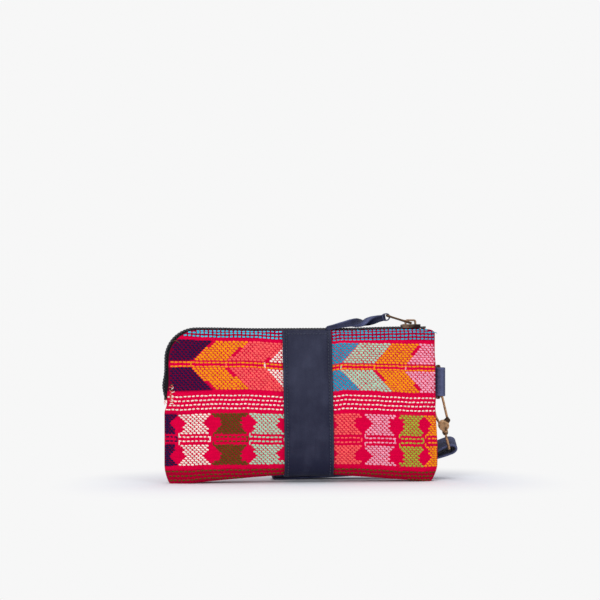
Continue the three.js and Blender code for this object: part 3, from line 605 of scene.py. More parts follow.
lift_heights = [2, 10, 32, 52, 64, 69, 88, 103, 108]
left_end_lift = [-2.4, -1.1, 0.0, -1.1, -1.1, -0.9, 0.4, 1.3, 1.1]
left_of_band_lift = [0.4, 0.4, -0.5, -0.9, -1.3, -1.3, -1.6, -1.3, -1.1]
right_of_band_lift = [0.6, 0.1, -1.1, -0.4, 0.1, -0.3, -1.6, -0.9, -1.9]
right_end_lift = [-3.6, -3.3, -1.4, -2.0, -2.3, -2.3, -1.1, -0.5, 1.2]


def row_height(x, t):
    """Where a row of the pattern runs: hand-woven rows wander, and drop beside the leather band."""
    left = np.interp(t, lift_heights, left_end_lift) * (1 - step(x, -92, -64))
    left = left + np.interp(t, lift_heights, left_of_band_lift) * step(x, -42, -15)
    right = np.interp(t, lift_heights, right_of_band_lift)
    right = right + np.interp(t, lift_heights, right_end_lift) * step(x, 28, 92)
    right = right - 0.9 * np.interp(t, [45, 55], [0, 1]) * (1 - step(x, 20, 31))
    wander = 0.1 * np.sin(0.33 * x + 0.05 * t) + 0.05 * np.sin(0.71 * x - 0.11 * t)
    return t + np.where(x < band_middle(t), left, right) + wander


def arrow_number(x, t, trim=0.0):
    """The arrowhead that a place on the cloth belongs to, or -1. The trim leaves more cloth bare between."""
    reach = np.maximum(np.where(t > 87, t - 88.5, (85.5 - t) * 0.93), 0)
    number = np.full(np.shape(x), -1)
    for k, (tip, slope, _) in enumerate(arrowheads[:-1]):
        end, end_slope, _ = arrowheads[k + 1]
        inside = (x >= tip - 0.3 + trim + slope * reach) & (x < end - 1.3 - trim + end_slope * reach)
        number = np.where(inside, k, number)
    return number


def glass_number(x, size, trim=0.0):
    """The hourglass that a place on the cloth belongs to, in a row with its share of the width, or -1."""
    number = np.full(np.shape(x), -1)
    for k, (middle, half, _) in enumerate(hourglasses):
        number = np.where(np.abs(x - middle) < half * size + 0.3 - trim, k, number)
    return number


def dash_columns():
    """Places across the cloth that are evenly spaced along its surface."""
    half_way_up = 57.0
    x = np.linspace(-102, 102, 1200)
    depth = half_depth(x, np.full_like(x, half_way_up))
    along = np.concatenate([[0], np.cumsum(np.hypot(np.diff(x), np.diff(depth)))])
    along -= np.interp(0, x, along)
    count = int(along[-1] / dash_pitch) + 1
    return lambda shift: np.interp((np.arange(-count, count + 1) + shift % 1) * dash_pitch, along, x)


def pattern_rows():
    """Every thread of the pattern: its place across and up, turn from level, length, width and colour."""
    at_columns = dash_columns()
    threads = []

    def add_row(t, shift, length, width, lean, dyes, numbers):
        x = at_columns(shift)
        z = row_height(x, t)
        turn = np.arctan2(row_height(x + 1, t) - row_height(x - 1, t), 2.0) + lean
        for k, number in enumerate(numbers(x)):
            if number >= 0:
                fine = 0.93 if dyes[number] == ivory else 1.0
                threads.append((x[k], z[k], turn[k], length * fine, width * fine, dyes[number]))

    def add_upright(x, t, height, width, colour):
        threads.append((x, row_height(x, t), math.pi / 2, height, width, colour))

    def everywhere(x):
        return np.zeros(len(x), int)

    for t in cyan_rows:
        # The cyan dashes on the right half are painted darker, as shade.
        add_row(t, 0.5, 2.6, 1.42, 0, [cyan, shaded_cyan], lambda x: (x > 0) * 1)
    for t in white_rows:
        add_row(t, 0.1 * t, 2.7, 1.35, 0, [ivory], everywhere)
    for t in olive_rows:
        add_row(t, 0.25 * t, 2.7, 1.3, 0, [olive], everywhere)
    for t in spine_rows:
        add_row(t, 0.3, 2.95, 1.3, 0, [amber], everywhere)

    dyes = [colour for _, _, colour in arrowheads]
    rows = [upper_arrows - row_pitch * k for k in range(9)]
    rows += [lower_arrows - row_pitch * k for k in range(10)]
    for k, t in enumerate(rows):
        add_row(t, 0.5 * (k % 2) + 0.13, 2.84, 1.78, fill_lean, dyes, lambda x: arrow_number(x, t))
    for tip, _, colour in arrowheads[1:-1]:
        long = colour == ivory
        add_upright(tip - 0.2, 87, 5.6 if long else 4.6, 1.6 if long else 1.15, colour)

    dyes = [colour for _, _, colour in hourglasses]
    for k, (t, size) in enumerate(glass_rows):
        add_row(t, 0.5 * (k % 2) + 0.2, 2.8, 1.66, fill_lean, dyes, lambda x: glass_number(x, size))
    for t in loop_rows:
        add_row(t, 0.2, 2.75, 1.35, 0, dyes, lambda x: glass_number(x, 0.95))
    for middle, half, colour in hourglasses:
        add_upright(middle - half + 0.1, 36.0, 3.3, 1.1, colour)
        add_upright(middle + half - 0.1, 32.9, 3.3, 1.1, colour)
        add_upright(middle - half + 0.1, 29.8, 3.3, 1.1, colour)
    return threads


def shape_threads(x, z, turn, length, width, side):
    """Pillow shapes over the cloth: points of each thread, its own two directions, and faces."""
    a = np.linspace(-1, 1, 7)[None, :, None]
    b = np.linspace(-1, 1, 5)[None, None, :]
    along = a * length[:, None, None] / 2
    across = b * width[:, None, None] / 2 * np.sqrt(1 - 0.66 * np.abs(a) ** 4)
    lift = (dash_rise + 0.2) * (1 - np.abs(a) ** 3.5) * np.sqrt(np.clip(1 - b**2, 0, 1)) - 0.2
    lift = np.broadcast_to(lift, across.shape)
    along = along + np.zeros_like(across)
    slope = np.clip(half_depth(x + 1, z) - half_depth(x - 1, z), -6, 6) / 2
    steep = np.sqrt(1 + slope**2)[:, None, None]
    cos, sin = np.cos(turn)[:, None, None], np.sin(turn)[:, None, None]
    points = on_cloth(x[:, None, None] + (cos * along - sin * across) / steep,
                      z[:, None, None] + sin * along + cos * across, side, lift)
    order = np.arange(a.size * b.size).reshape(a.size, b.size)
    faces = copies(grid_faces(order if side < 0 else order[:, ::-1]), order.size, len(x))
    own = np.stack([along, across, np.zeros_like(across)], -1)
    return points, own, faces


def dye_and_shade_ground(panel, side):
    """Tints the cloth where coloured threads show between their dashes, and darkens it there as painted
    shade.
    """
    x, _, z = (read(panel.data, "co") - body_middle).T * 1000
    x = -side * x
    t = z - (row_height(x, z) - z)
    tint = np.tile(crimson, (len(x), 1))

    def blend(number, yarns):
        dyes = np.array([colour for _, _, colour in yarns])
        share = 0.62 * (1 - dyes[:, :3] @ [0.55, 0.4, 0.05])[:, None] ** 3
        # The ground between the dashes is darkened as painted shade.
        mixed = (np.array(crimson) * (1 - share) + dyes * share) * (0.88 - 0.42 * share)
        tint[number >= 0] = mixed[number[number >= 0]]

    on_arrows = (t > 68.6) & (t < 104.2) & (np.abs(t - 86.9) > 2.3)
    blend(np.where(on_arrows, arrow_number(x, t, 0.5), -1), arrowheads)
    for level, size in glass_rows:
        blend(np.where(np.abs(t - level) < 0.76, glass_number(x, size, 0.6), -1), hourglasses)
    # Darker and bluer across the top border.
    tint[t > 106.6] *= [0.5, 0.5, 0.75, 1.0]
    # Painted shade darkens the bottom border, where the cloth curves under.
    tint[t < 11.2] *= 0.62
    paint(panel, "dye_and_shade", tint)


dye_and_shade_ground(front_cloth, -1)
dye_and_shade_ground(back_cloth, 1)

brocade_thread, tone = new_finish("brocade_thread", Roughness=0.85, Specular_IOR_Level=0.15)
own = tone.stored("lay")
along, across, seed = own.split()
ply = (along * 5.2 + across * 6.5 + seed * 6.0).wave()
fuzz = own.cloud(2.2, 3.0)
# Painted shade in the hollows between the plies, with random darker fuzz.
ply_shade_and_fuzz = (1 - ply) * 0.3 + fuzz.eased(0.4, 0.8) * 0.15
coat(brocade_thread, "Base Color", tone.stored("yarn_and_shade", 0).darkened(ply_shade_and_fuzz, [0.5, 0.45, 0.45, 1.0]))
relief(brocade_thread, ply * 0.8 + fuzz * 0.4, 0.00012)


def weave_pattern(name, side):
    """All the threads of one panel. Nothing is woven where the leather band covers the cloth."""
    threads = pattern_rows()
    x, z, turn, length, width = np.array([thread[:5] for thread in threads]).T
    tint = np.array([thread[5] for thread in threads])
    x, turn = -side * x, -side * turn
    keep = (z < top_edge(x) + 0.8) & (z > seam_height(x) + 0.5)
    z = np.minimum(z, top_edge(x) - 0.4)
    keep &= (x > side_x(-1, z) + 1.0 + 1.3 * step(z, 62, 75)) & (x < side_x(1, z) - 1.0)
    keep &= np.abs(x - band_middle(z)) > band_width / 2 - 1.2
    x, z, turn, length, width, tint = [values[keep] for values in (x, z, turn, length, width, tint)]
    count = len(x)
    x = x + thread_random.normal(0, 0.09, count)
    z = z + thread_random.normal(0, 0.05, count)
    length = length * thread_random.uniform(0.9, 1.06, count)
    width = width * thread_random.uniform(0.9, 1.08, count)
    turn = turn + thread_random.normal(0, 0.08, count)
    points, own, faces = shape_threads(x, z, turn, length, width, side)
    made = make_piece(name, points, faces, brocade_thread, closed=False)
    own[..., 2] = thread_random.uniform(0, 1, count)[:, None, None]
    note(made, own)
    bright = thread_random.uniform(0.86, 1.06, count)[:, None]
    shades = np.clip(tint * np.concatenate([bright, bright, bright, np.ones_like(bright)], 1), 0, 1)
    # Painted shade darkens each thread's two ends to dark crimson, where it dives into the cloth.
    sunk_end_shade = np.repeat([0.4, 0, 0, 0, 0, 0, 0.4], 5)[None, :, None]
    shades = shades[:, None] * (1 - sunk_end_shade) + np.array(crimson) * sunk_end_shade * 0.4
    paint(made, "yarn_and_shade", shades)
    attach(made, "pouch")


weave_pattern("front_brocade", -1)
weave_pattern("back_brocade", 1)


# Inside, each panel is backed by a plain dark cotton lining, sewn in with the zip. It hangs just inside the
# cloth.

lining_inset = 9.0
lining_reach = 2.0
lining_thickness = 0.6
lining_drop = 9.6
lining_top = body_height - top_fall - top_sag - lining_drop

lining_cloth, tone = new_finish("lining_cloth", Roughness=0.95)
px, _, pz = tone.spot().split()
thread_grid = tone.maths("SINE", px * 9000) * 0.5 + tone.maths("SINE", pz * 9000) * 0.5
# Painted shade between the lining's threads.
coat(lining_cloth, "Base Color", (thread_grid * 0.3 + 0.5).between(dye(40, 34, 34), dye(66, 58, 56)))
relief(lining_cloth, thread_grid * 0.5 + 0.5, 0.0001)


def lining_panel(name, side):
    outer = []
    for u in eased_steps(30):
        level = lining_inset + (lining_top - lining_inset) * eased_steps(26)
        x = (side_x(-1, level) + lining_inset) * (1 - u) + (side_x(1, level) - lining_inset) * u
        z = np.maximum(level, seam_height(x) + lining_inset)
        outer.append(np.stack([x, side * (half_depth(x, z) - lining_reach), z], -1))
    outer = np.array(outer)
    inner = outer - np.array([0, side * lining_thickness, 0])
    points, faces = quilt(outer, inner)
    made = make_piece(name, points, faces, lining_cloth)
    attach(made, "pouch")
    return made


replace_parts(lining_panel("front_lining_cloth", -1), "front_lining")
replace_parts(lining_panel("back_lining_cloth", 1), "back_lining")


# The zip: two black woven tapes, each with a nylon coil on its rim, over the top edge, round the left corner
# and half-way down the left side. The tapes are sewn between the panels and the linings.

zip_gap = 6.0
tape_thickness = 0.5
tape_depth = 9.0
tape_shelf = 0.8
coil_width = 2.3
coil_height = 1.4
coil_gap = 1.1
tooth_pitch = 2.17
stop_length = 2.2
end_bulge = 1.5
arc_z = side_top(-1) - zip_corner_radius
top_run = zip_start - top_end
arc_run = zip_corner_radius * math.pi / 2
side_run = arc_z - zip_end_height
zip_length = top_run + arc_run + side_run


def on_zip(run, rise, y):
    """Points along the zip: run from its right end, rise out of the panels' edge, and place in depth."""
    run, rise, y = np.broadcast_arrays(np.asarray(run, float), rise, y)
    rise = np.where(rise > 0.4, rise + end_bulge * np.exp(-(((run - zip_length + 10.5) / 6.5) ** 2)), rise)
    angle = math.pi / 2 + np.clip(run - top_run, 0, arc_run) / zip_corner_radius
    over = zip_start - np.minimum(run, top_run)
    down = np.maximum(run - top_run - arc_run, 0)
    x = over + (zip_corner_radius + rise) * np.cos(angle)
    turned = arc_z - down + (zip_corner_radius + rise) * np.sin(angle)
    return np.stack([x, y, np.where(run < top_run, top_edge(over) + rise, turned)], -1)


zip_tape_cloth, tone = new_finish("zip_tape_cloth", Roughness=0.9, Specular_IOR_Level=0.15)
along, across, _ = tone.stored("lay").split()
zigzag = tone.maths("PINGPONG", across, 0.9)
twill = ((along + zigzag * 1.2) * 8.0).wave()
# Painted shade in the furrows of the twill.
coat(zip_tape_cloth, "Base Color", twill.between(dye(12, 12, 15), dye(30, 30, 35)))
relief(zip_tape_cloth, twill, 0.00015)


def zip_tape(name, side):
    outer_y = zip_gap / 2 - clearance
    section = [(outer_y, rise) for rise in (-tape_depth, -6, -3, -1, 0.3)] + [(outer_y - 0.15, 0.68)]
    section += [(y, tape_shelf) for y in (outer_y - 0.5, 1.8, 1.2, coil_gap / 2)]
    under = [(y - tape_thickness, rise) if rise < 0.5 else (y, rise - tape_thickness) for y, rise in section]
    run = np.linspace(0, zip_length, 190)
    outer = np.stack([on_zip(run, rise, side * y) for y, rise in section], 1)
    inner = np.stack([on_zip(run, rise, side * y) for y, rise in under], 1)
    points, faces = quilt(outer, inner)
    made = make_piece(name, points, faces, zip_tape_cloth)
    width = np.cumsum([0] + [math.dist(a, b) for a, b in zip(section, section[1:])])
    note_quilt(made, run[:, None], width, 0, 0)
    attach(made, "pouch")
    return made


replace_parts(zip_tape("front_tape", -1), "zip_tape_front")
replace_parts(zip_tape("back_tape", 1), "zip_tape_back")

black_nylon, tone = new_finish("black_nylon", Specular_IOR_Level=0.3)
# Random paler flecks on the coil: partly dust, partly painted sheen.
dust_and_sheen = tone.spot().cloud(900.0, 2.0)
coat(black_nylon, "Base Color", dust_and_sheen.eased(0.3, 0.8).between(dye(20, 20, 24), dye(54, 53, 62)))
coat(black_nylon, "Roughness", dust_and_sheen * 0.25 + 0.4)


def zip_coil(name, side, phase):
    """One coil: a row of nylon loops, thick at their heads, that reach in over the tape's rim."""
    base = tape_shelf + 0.25
    first = stop_length + 0.5
    count = round((zip_length - 2 * first) / tooth_pitch)
    runs = first + (np.arange(count) + phase) * (zip_length - 2 * first) / count
    steps = np.linspace(0, 1, 9)
    outer_y = coil_gap / 2 + coil_width
    y = np.interp(steps, [0, 0.12, 0.85, 1], [outer_y, outer_y + 0.05, 0.62, 0.3])
    raised = np.interp(steps, [0, 0.1, 0.25, 0.8, 0.92, 1], [0.12, 0.42, 0.56, 0.56, 0.52, 0.42])
    rise = base + coil_height * raised
    wide = np.interp(steps, [0, 0.1, 0.3, 0.8, 0.95, 1], [1.1, 1.2, 1.24, 1.24, 0.9, 0.3])
    tall = np.interp(steps, [0, 0.1, 0.3, 0.9, 1], [0.4, 0.6, 0.68, 0.62, 0.25])
    sides = 8
    points = []
    for k in range(sides):
        angle = 2 * math.pi * (k + 0.5) / sides
        points.append(on_zip(runs[:, None] + wide * math.cos(angle), rise + tall * math.sin(angle), side * y))
    points = np.stack(points, 2)
    faces = copies(tube(points[0], False), len(steps) * sides, count)
    made = make_piece(name, points, faces, black_nylon)
    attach(made, "pouch")
    return made


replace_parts(zip_coil("front_coil", -1, 0.25), "zip_coil_front")
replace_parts(zip_coil("back_coil", 1, 0.75), "zip_coil_back")


# The metal: cast fittings in antiqued brass, rubbed bright on their edges, with painted shade round the
# hook's hinge and neck and at the slider's nose, and small blackened steel parts, such as the zip's stops and
# the hook's pin.


def metal_finish(name, dark, bright, shaded_places=()):
    """Metal with dark stains, polished bright at its edges. Painted shade darkens it round places: middle and
    reach in metres.
    """
    metal, tone = new_finish(name, Metallic=1.0)
    place = tone.spot()
    stain_and_shade = place.cloud(260.0, 4.0, 0.6)
    pits = place.cloud(1400.0, 3.0)
    rubbed_and_lit = tone.node("ShaderNodeNewGeometry", {}, {}, 7)
    wear_and_shade = stain_and_shade.eased(0.28, 0.56) * 0.75 + rubbed_and_lit.eased(0.5, 0.56) * 0.5
    for middle, reach in shaded_places:
        wear_and_shade = wear_and_shade * tone.vectors("DISTANCE", 1, place, middle).eased(reach * 0.6, reach)
    coat(metal, "Base Color", wear_and_shade.between(dark, bright))
    coat(metal, "Roughness", (1 - stain_and_shade) * 0.3 + 0.36 + pits * 0.12)
    relief(metal, pits, 0.00006)
    return metal


joints = {joint["name"]: joint for joint in frame["joints"]}
boss = np.array(joints["eye_swivel"]["pos_m"])
hang = np.array(joints["eye_swivel"]["axis"])
neck_drop = 0.0062
# Painted shade round the gate's hinge and the swivel's neck.
hook_shade_places = [(joints["gate_open"]["pos_m"], 0.0036), ((boss + hang * neck_drop).tolist(), 0.003)]
slider_low, slider_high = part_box("slider_body")
slider_nose = [slider_high.x, (slider_low.y + slider_high.y) / 2, slider_low.z]
brass = metal_finish("aged_brass", dye(66, 50, 40), dye(200, 160, 120), hook_shade_places)
dark_bronze = metal_finish("dark_bronze", dye(32, 25, 23), dye(96, 73, 52))
worn_bronze = metal_finish("worn_bronze", dye(44, 34, 32), dye(140, 114, 94))
# Painted shade darkens the slider towards its nose.
slider_bronze = metal_finish("slider_bronze", dye(36, 28, 28), dye(114, 94, 78), [(slider_nose, 0.0115)])
dark_steel = metal_finish("dark_steel", dye(38, 34, 32), dye(70, 62, 56))


def cast(node, metal, body, fuller=0.08):
    """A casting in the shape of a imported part, with the softly rounded edges that metal has from its mould.
    It is fuller, by so many millimetres, where its surface faces away from the part's middle."""
    mesh = bpy.data.meshes.new(node + "_cast")
    made = bpy.data.objects.new(node + "_cast", mesh)
    work = bmesh.new()
    work.from_mesh(frame["nodes"][node].data)
    work.to_mesh(mesh)
    work.free()
    bpy.context.scene.collection.objects.link(made)
    grain = made.modifiers.new("grain", "REMESH")
    grain.mode = "VOXEL"
    grain.voxel_size = 0.00016
    rounding = made.modifiers.new("rounding", "SMOOTH")
    rounding.factor = 0.5
    rounding.iterations = 7
    shaped = bpy.data.meshes.new_from_object(made.evaluated_get(bpy.context.evaluated_depsgraph_get()))
    made.modifiers.clear()
    made.data = shaped
    places = read(shaped, "co")
    normals = read(shaped, "normal")
    middle = (places.min(axis=0) + places.max(axis=0)) / 2
    away = step(((places - middle) * normals).sum(1) * 1000, 0.0, 0.4)
    shaped.vertices.foreach_set("co", (places + normals * away[:, None] * fuller * 0.001).ravel())
    shaped.polygons.foreach_set("use_smooth", [True] * len(shaped.polygons))
    shaped.materials.clear()
    shaped.materials.append(metal)
    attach(made, body)
    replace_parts(made, node)


cast("snap_hook", brass, "hook", 0.15)
cast("hook_gate", brass, "gate")
cast("swivel_eye", brass, "eye")
cast("slider_body", slider_bronze, "slider")
cast("slider_bridge", worn_bronze, "slider", 0.4)
cast("pull_link", dark_bronze, "link", 0.05)
cast("d_ring", dark_bronze, "ring")
steel_parts = ["zip_top_stop_front", "zip_top_stop_back", "zip_bottom_stop"]
steel_parts += ["gate_pin", "gate_spring", "swivel_rivet"]
for node in steel_parts:
    finishes = frame["nodes"][node].data.materials
    finishes.clear()
    finishes.append(dark_steel)


# The leather band: a strip of waxed navy leather, sewn over the cloth down both long edges and along the top,
# from the zip round the bottom and up the back. The wax lightens where the leather is bent and rubbed. The
# upper middle of the front is paler, partly from scuffs and partly as a painted highlight, and painted shade
# darkens the stitch grooves and the bottom of the band.

band_thickness = 1.6
stitch_inset = 2.1
stitch_pitch = 2.3


def leather_finish(name, light):
    """Navy pull-up leather: 'lay' holds places along and across the piece, and scuffs with painted highlights
    and shade, 0 to 1.
    """
    hide, tone = new_finish(name, Specular_IOR_Level=0.2)
    along, across, wear_and_light = tone.stored("lay").split()
    flat = tone.node("ShaderNodeCombineXYZ", {}, {0: along, 1: across})
    patches = flat.cloud(0.045, 3.0, 0.55)
    drawn = tone.node("ShaderNodeCombineXYZ", {}, {0: along * 0.03, 1: across * 0.3})
    streaks = drawn.cloud(1.0, 3.0)
    cells = {"Vector": flat, "Scale": 1.1}
    pores = tone.node("ShaderNodeTexVoronoi", {"feature": "DISTANCE_TO_EDGE"}, cells, 0)
    creases = flat.cloud(0.9, 5.0, 0.65)
    grains = flat.cloud(1.6, 3.0, 0.7)
    rubbed_and_lit = wear_and_light * 0.75 + patches.eased(0.38, 0.68) * 0.4 + (streaks - 0.5) * 0.4 + (grains - 0.5) * 0.9
    rubbed_and_lit = tone.maths("MINIMUM", tone.maths("MAXIMUM", rubbed_and_lit, 0.0), 1.0)
    coat(hide, "Base Color", rubbed_and_lit.between(dye(14, 17, 42), light))
    coat(hide, "Roughness", 0.5 + rubbed_and_lit * 0.16 + creases * 0.08)
    relief(hide, pores.eased(0.0, 0.25) * 0.5 + creases * 0.6 + grains * 0.4, 0.00016)
    return hide


navy_leather = leather_finish("navy_leather", dye(51, 54, 74))
worn_leather = leather_finish("worn_leather", dye(84, 90, 124))


def band_line(x, lift):
    """The band's path over the front, under the seam and up the back, as y and z."""
    top = top_edge(x) + 0.3
    foot = seam_height(x)
    z = foot + (top - foot) * np.linspace(0, 1, 54) ** 1.6
    depth = half_depth(np.full_like(z, x), z)
    y = np.concatenate([-depth[::-1], [0], depth])
    z = np.concatenate([z[::-1], [foot], z])
    run_y = np.gradient(y)
    run_z = np.gradient(z)
    run = np.hypot(run_y, run_z)
    z_out = z - run_y / run * lift
    z_out[[0, -1]] = z[[0, -1]]
    return y + run_z / run * lift, z_out


def band_grid(lift, shares):
    """The band's path at some shares of its width, so far above the cloth."""
    columns = []
    for u in shares:
        y, z = band_line(band_offset + band_width * (u - 0.5), lift)
        columns.append(np.stack([band_middle(z) + band_width * (u - 0.5), y, z], -1))
    return np.array(columns)


shares = np.concatenate([[0, 0.012, 0.04], np.linspace(0.06, 0.94, 16), [0.96, 0.988, 1]])
outer = band_grid(clearance + band_thickness, shares)
inner = band_grid(clearance, shares)
groove = np.exp(-(((np.minimum(shares, 1 - shares) * band_width - stitch_inset) / 0.7) ** 2))
outer = outer + (inner - outer) * (0.16 * groove)[:, None, None]
points, faces = quilt(outer, inner)
band = make_piece("band_leather", points, faces, navy_leather)
side_share = (shares * band_width)[:, None]
near_edge = np.minimum(side_share, band_width - side_share)
# The upper middle of the front is paler: partly scuffs, partly a painted highlight from the top light.
high = step(outer[:, :, 2], 45, 78) * (1 - step(outer[:, :, 2], 98, 112))
wear_and_light = 0.08 + 0.34 * high * step(near_edge, 1, 9) + 0.35 * np.exp(-((near_edge / 0.9) ** 2))
# Painted shade in the stitch grooves.
wear_and_light = wear_and_light - 0.35 * np.exp(-(((near_edge - stitch_inset) / 0.8) ** 2))
# Painted shade low on the band, where it turns under.
wear_and_light = wear_and_light - 0.25 * (1 - step(outer[:, :, 2], 4, 26))
rim = np.full((len(points) - 2 * wear_and_light.size, 3), 0.3)
rim[:, 0] = points[2 * wear_and_light.size:, 2]
note_quilt(band, run_along(outer, 1), side_share, wear_and_light, rim)
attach(band, "pouch")
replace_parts(band, "leather_band")


def twisted_strands(tone, fineness):
    """The strands of a sewing thread, from 0 in the hollows to 1."""
    x, _, z = tone.spot().split()
    return ((x + z) * fineness).wave()


navy_thread, tone = new_finish("navy_thread", Roughness=0.6)
strand = twisted_strands(tone, 9000)
# Painted shade in the hollows between the thread's strands.
coat(navy_thread, "Base Color", strand.between(dye(14, 17, 30), dye(44, 50, 74)))
relief(navy_thread, strand, 0.00008)


def stitches(name, middles, ways, normals, length, radius, material):
    """Short threads that rise out of a surface and go back in, as one mesh."""
    rings = []
    steps = np.linspace(-1, 1, 7)
    spokes = np.arange(6) * math.pi / 3
    for middle, way, normal in zip(middles, ways, normals):
        way = unit(way)
        normal = unit(normal - way * np.dot(way, normal))
        aside = np.cross(way, normal)
        for a in steps:
            thick = radius * math.sqrt(1 - 0.75 * a**4)
            centre = middle + way * a * length / 2 + normal * (0.35 * radius - 1.5 * radius * a**4)
            rings.append([centre + thick * (math.cos(w) * aside + math.sin(w) * normal) for w in spokes])
    faces = copies(tube(rings[:len(steps)], False), len(steps) * len(spokes), len(middles))
    return make_piece(name, rings, faces, material)


def points_on(line, run, spots):
    """Points of a line at some lengths along it."""
    return np.stack([np.interp(spots, run, column) for column in line.T], -1)


middles = []
ways = []
normals = []
for share in (stitch_inset / band_width, 1 - stitch_inset / band_width):
    line = band_grid(clearance + band_thickness * 0.9, [share])[0]
    run = run_along(line[None], 1)[0]
    spots = np.arange(1.6, run[-1] - 1.0, stitch_pitch)
    at = points_on(line, run, spots)
    tangent = points_on(line, run, spots + 0.5) - at
    middles += list(at)
    ways += list(tangent / np.linalg.norm(tangent, axis=1, keepdims=True) + np.array([0.18, 0, 0]))
    normals += list(np.cross(tangent, [1.0, 0, 0]))
for side in (-1, 1):
    spots = np.arange(-band_width / 2 + 4, band_width / 2 - 3, stitch_pitch) + band_middle(body_height)
    height = top_edge(spots) - 2.9
    at = on_cloth(spots, height, side, clearance + band_thickness * 0.95)
    middles += list(at)
    ways += [np.array([1.0, 0, 0.1])] * len(spots)
    normals += [np.array([0, side, 0.1])] * len(spots)
middles = np.array(middles)
normals = np.array(normals)
inward = np.where(middles[:, 2] < 12, normals[:, 2] > 0, normals[:, 1] * middles[:, 1] < 0)
normals = np.where(inward[:, None], -normals, normals)
thread = stitches("band_stitches", middles, ways, normals, 1.9, 0.34, navy_thread)
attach(thread, "pouch")


# The zip's lower end: it is closed with a row of bar tacks of coral, white and olive thread. Loose ends of
# thread curl there and at the top corners.

tack_thread, tone = new_finish("tack_thread", Roughness=0.8)
strand = twisted_strands(tone, 11000)
# Painted shade in the hollows between the strands.
coat(tack_thread, "Base Color", tone.stored("yarn_and_shade", 0).darkened((1 - strand) * 0.4, [0.5, 0.45, 0.45, 1.0]))
relief(tack_thread, strand, 0.00008)

coral = dye(240, 104, 92)


def on_both(x, z, lift):
    """Points over the front panel, and then over the back panel."""
    return np.concatenate([on_cloth(x, z, side, lift) for side in (-1, 1)])


tack_z = np.arange(58.6, 73.0, 0.9)
order = np.arange(len(tack_z))
tack_x = side_x(-1, tack_z) + 3.3 + 0.9 * np.sin(order * 2.3)
tack_turn = 0.75 * np.sin(order * 1.7)
middles = on_both(tack_x, tack_z, 0.25)
outward = on_both(tack_x, tack_z, 1.25) - middles
slope = on_both(tack_x + 0.5, tack_z, 0.25) - middles
ways = np.tile(np.stack([np.cos(tack_turn), 0 * tack_turn, np.sin(tack_turn)], -1), (2, 1))
ways[:, 1] += slope[:, 1] / np.maximum(slope[:, 0], 0.1)
bar_tacks = stitches("bar_tacks", middles, ways, outward, 2.8, 0.32, tack_thread)
yarns = [olive if k % 4 == 3 and tack_z[k] > 68 else coral if k % 3 else ivory for k in order]
paint(bar_tacks, "yarn_and_shade", np.repeat(yarns * 2, len(bar_tacks.data.vertices) // len(middles), axis=0))
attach(bar_tacks, "pouch")


def loose_thread(name, points, radius, colour):
    """A thin bent thread through a few points, with fine ends."""
    line = points_on(np.array(points), np.arange(len(points)), np.linspace(0, len(points) - 1, 26))
    for _ in range(4):
        line[1:-1] = (line[:-2] + 2 * line[1:-1] + line[2:]) / 4
    way = np.gradient(line, axis=0)
    way /= np.linalg.norm(way, axis=1, keepdims=True)
    side = np.cross(way, [0.3, 0.9, 0.2])
    side /= np.linalg.norm(side, axis=1, keepdims=True)
    other = np.cross(way, side)
    thick = radius * (1 - 0.6 * np.linspace(0, 1, len(line)) ** 3)[:, None]
    spokes = np.arange(6) * math.pi / 3
    rings = np.stack([line + thick * (math.cos(w) * side + math.sin(w) * other) for w in spokes], 1)
    made = make_piece(name, rings, tube(rings, False), tack_thread)
    paint(made, "yarn_and_shade", np.tile(colour, (len(rings) * 6, 1)))
    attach(made, "pouch")


white_curl = [(-97.8, -3.0, 63.0), (-99.6, -4.0, 64.6), (-98.4, -4.4, 66.4), (-96.6, -4.3, 65.6)]
long_curl = [(-98.6, -2.4, 61.5), (-100.9, -3.2, 61.0), (-101.9, -3.6, 59.2), (-101.2, -3.9, 57.4)]
corner_curl = [(-90.2, -5.4, 102.4), (-92.0, -6.3, 103.7), (-93.8, -6.0, 104.7), (-95.3, -5.1, 103.9)]
loose_thread("coral_end_1", long_curl, 0.22, coral)
loose_thread("coral_end_2", [(-98.2, -3.0, 58.0), (-100.6, -3.9, 58.6), (-101.2, -4.2, 60.8)], 0.22, coral)
loose_thread("white_end", white_curl, 0.22, ivory)
loose_thread("olive_end", corner_curl, 0.24, olive)
loose_thread("teal_end", [(98.2, -2.0, 111.2), (100.4, -2.6, 111.6), (101.0, -2.9, 110.4)], 0.2, teal)


# The side tab: a short strip of the same leather, folded round the D-ring's bar, with both of its ends sewn
# into the right side seam.

tab_height = 20.8
tab_thickness = 1.4
tab_slack = 0.9
ring_wire = 2.2
ring_reach = 3.9
loop_x = zip_half + ring_reach + tab_slack
bar_loop = ring_wire / 2 + clearance + tab_slack
tab_start = zip_half - 6

leg_y = clearance / 2 + tab_thickness / 2
turn_radius = bar_loop + tab_thickness / 2
throat = math.asin(min(leg_y / turn_radius, 1))
path = [[tab_start, -leg_y], [zip_half - 3, -leg_y], [zip_half - 1, -leg_y]]
around = np.linspace(math.pi + throat, 3 * math.pi - throat, 25)
path += [[loop_x + turn_radius * math.cos(a), turn_radius * math.sin(a)] for a in around]
path += [[zip_half - 1, leg_y], [zip_half - 3, leg_y], [tab_start, leg_y]]
path = np.array(path)
slim = np.gradient(path, axis=0)
slim /= np.linalg.norm(slim, axis=1, keepdims=True)
out_way = np.stack([slim[:, 1], -slim[:, 0]], -1)
levels = tab_middle + tab_height * (np.concatenate([[0, 0.02], np.linspace(0.05, 0.95, 12), [0.98, 1]]) - 0.5)


def tab_grid(offset):
    line = path + out_way * offset
    return np.stack([np.stack([line[:, 0], line[:, 1], np.full(len(line), z)], -1) for z in levels])


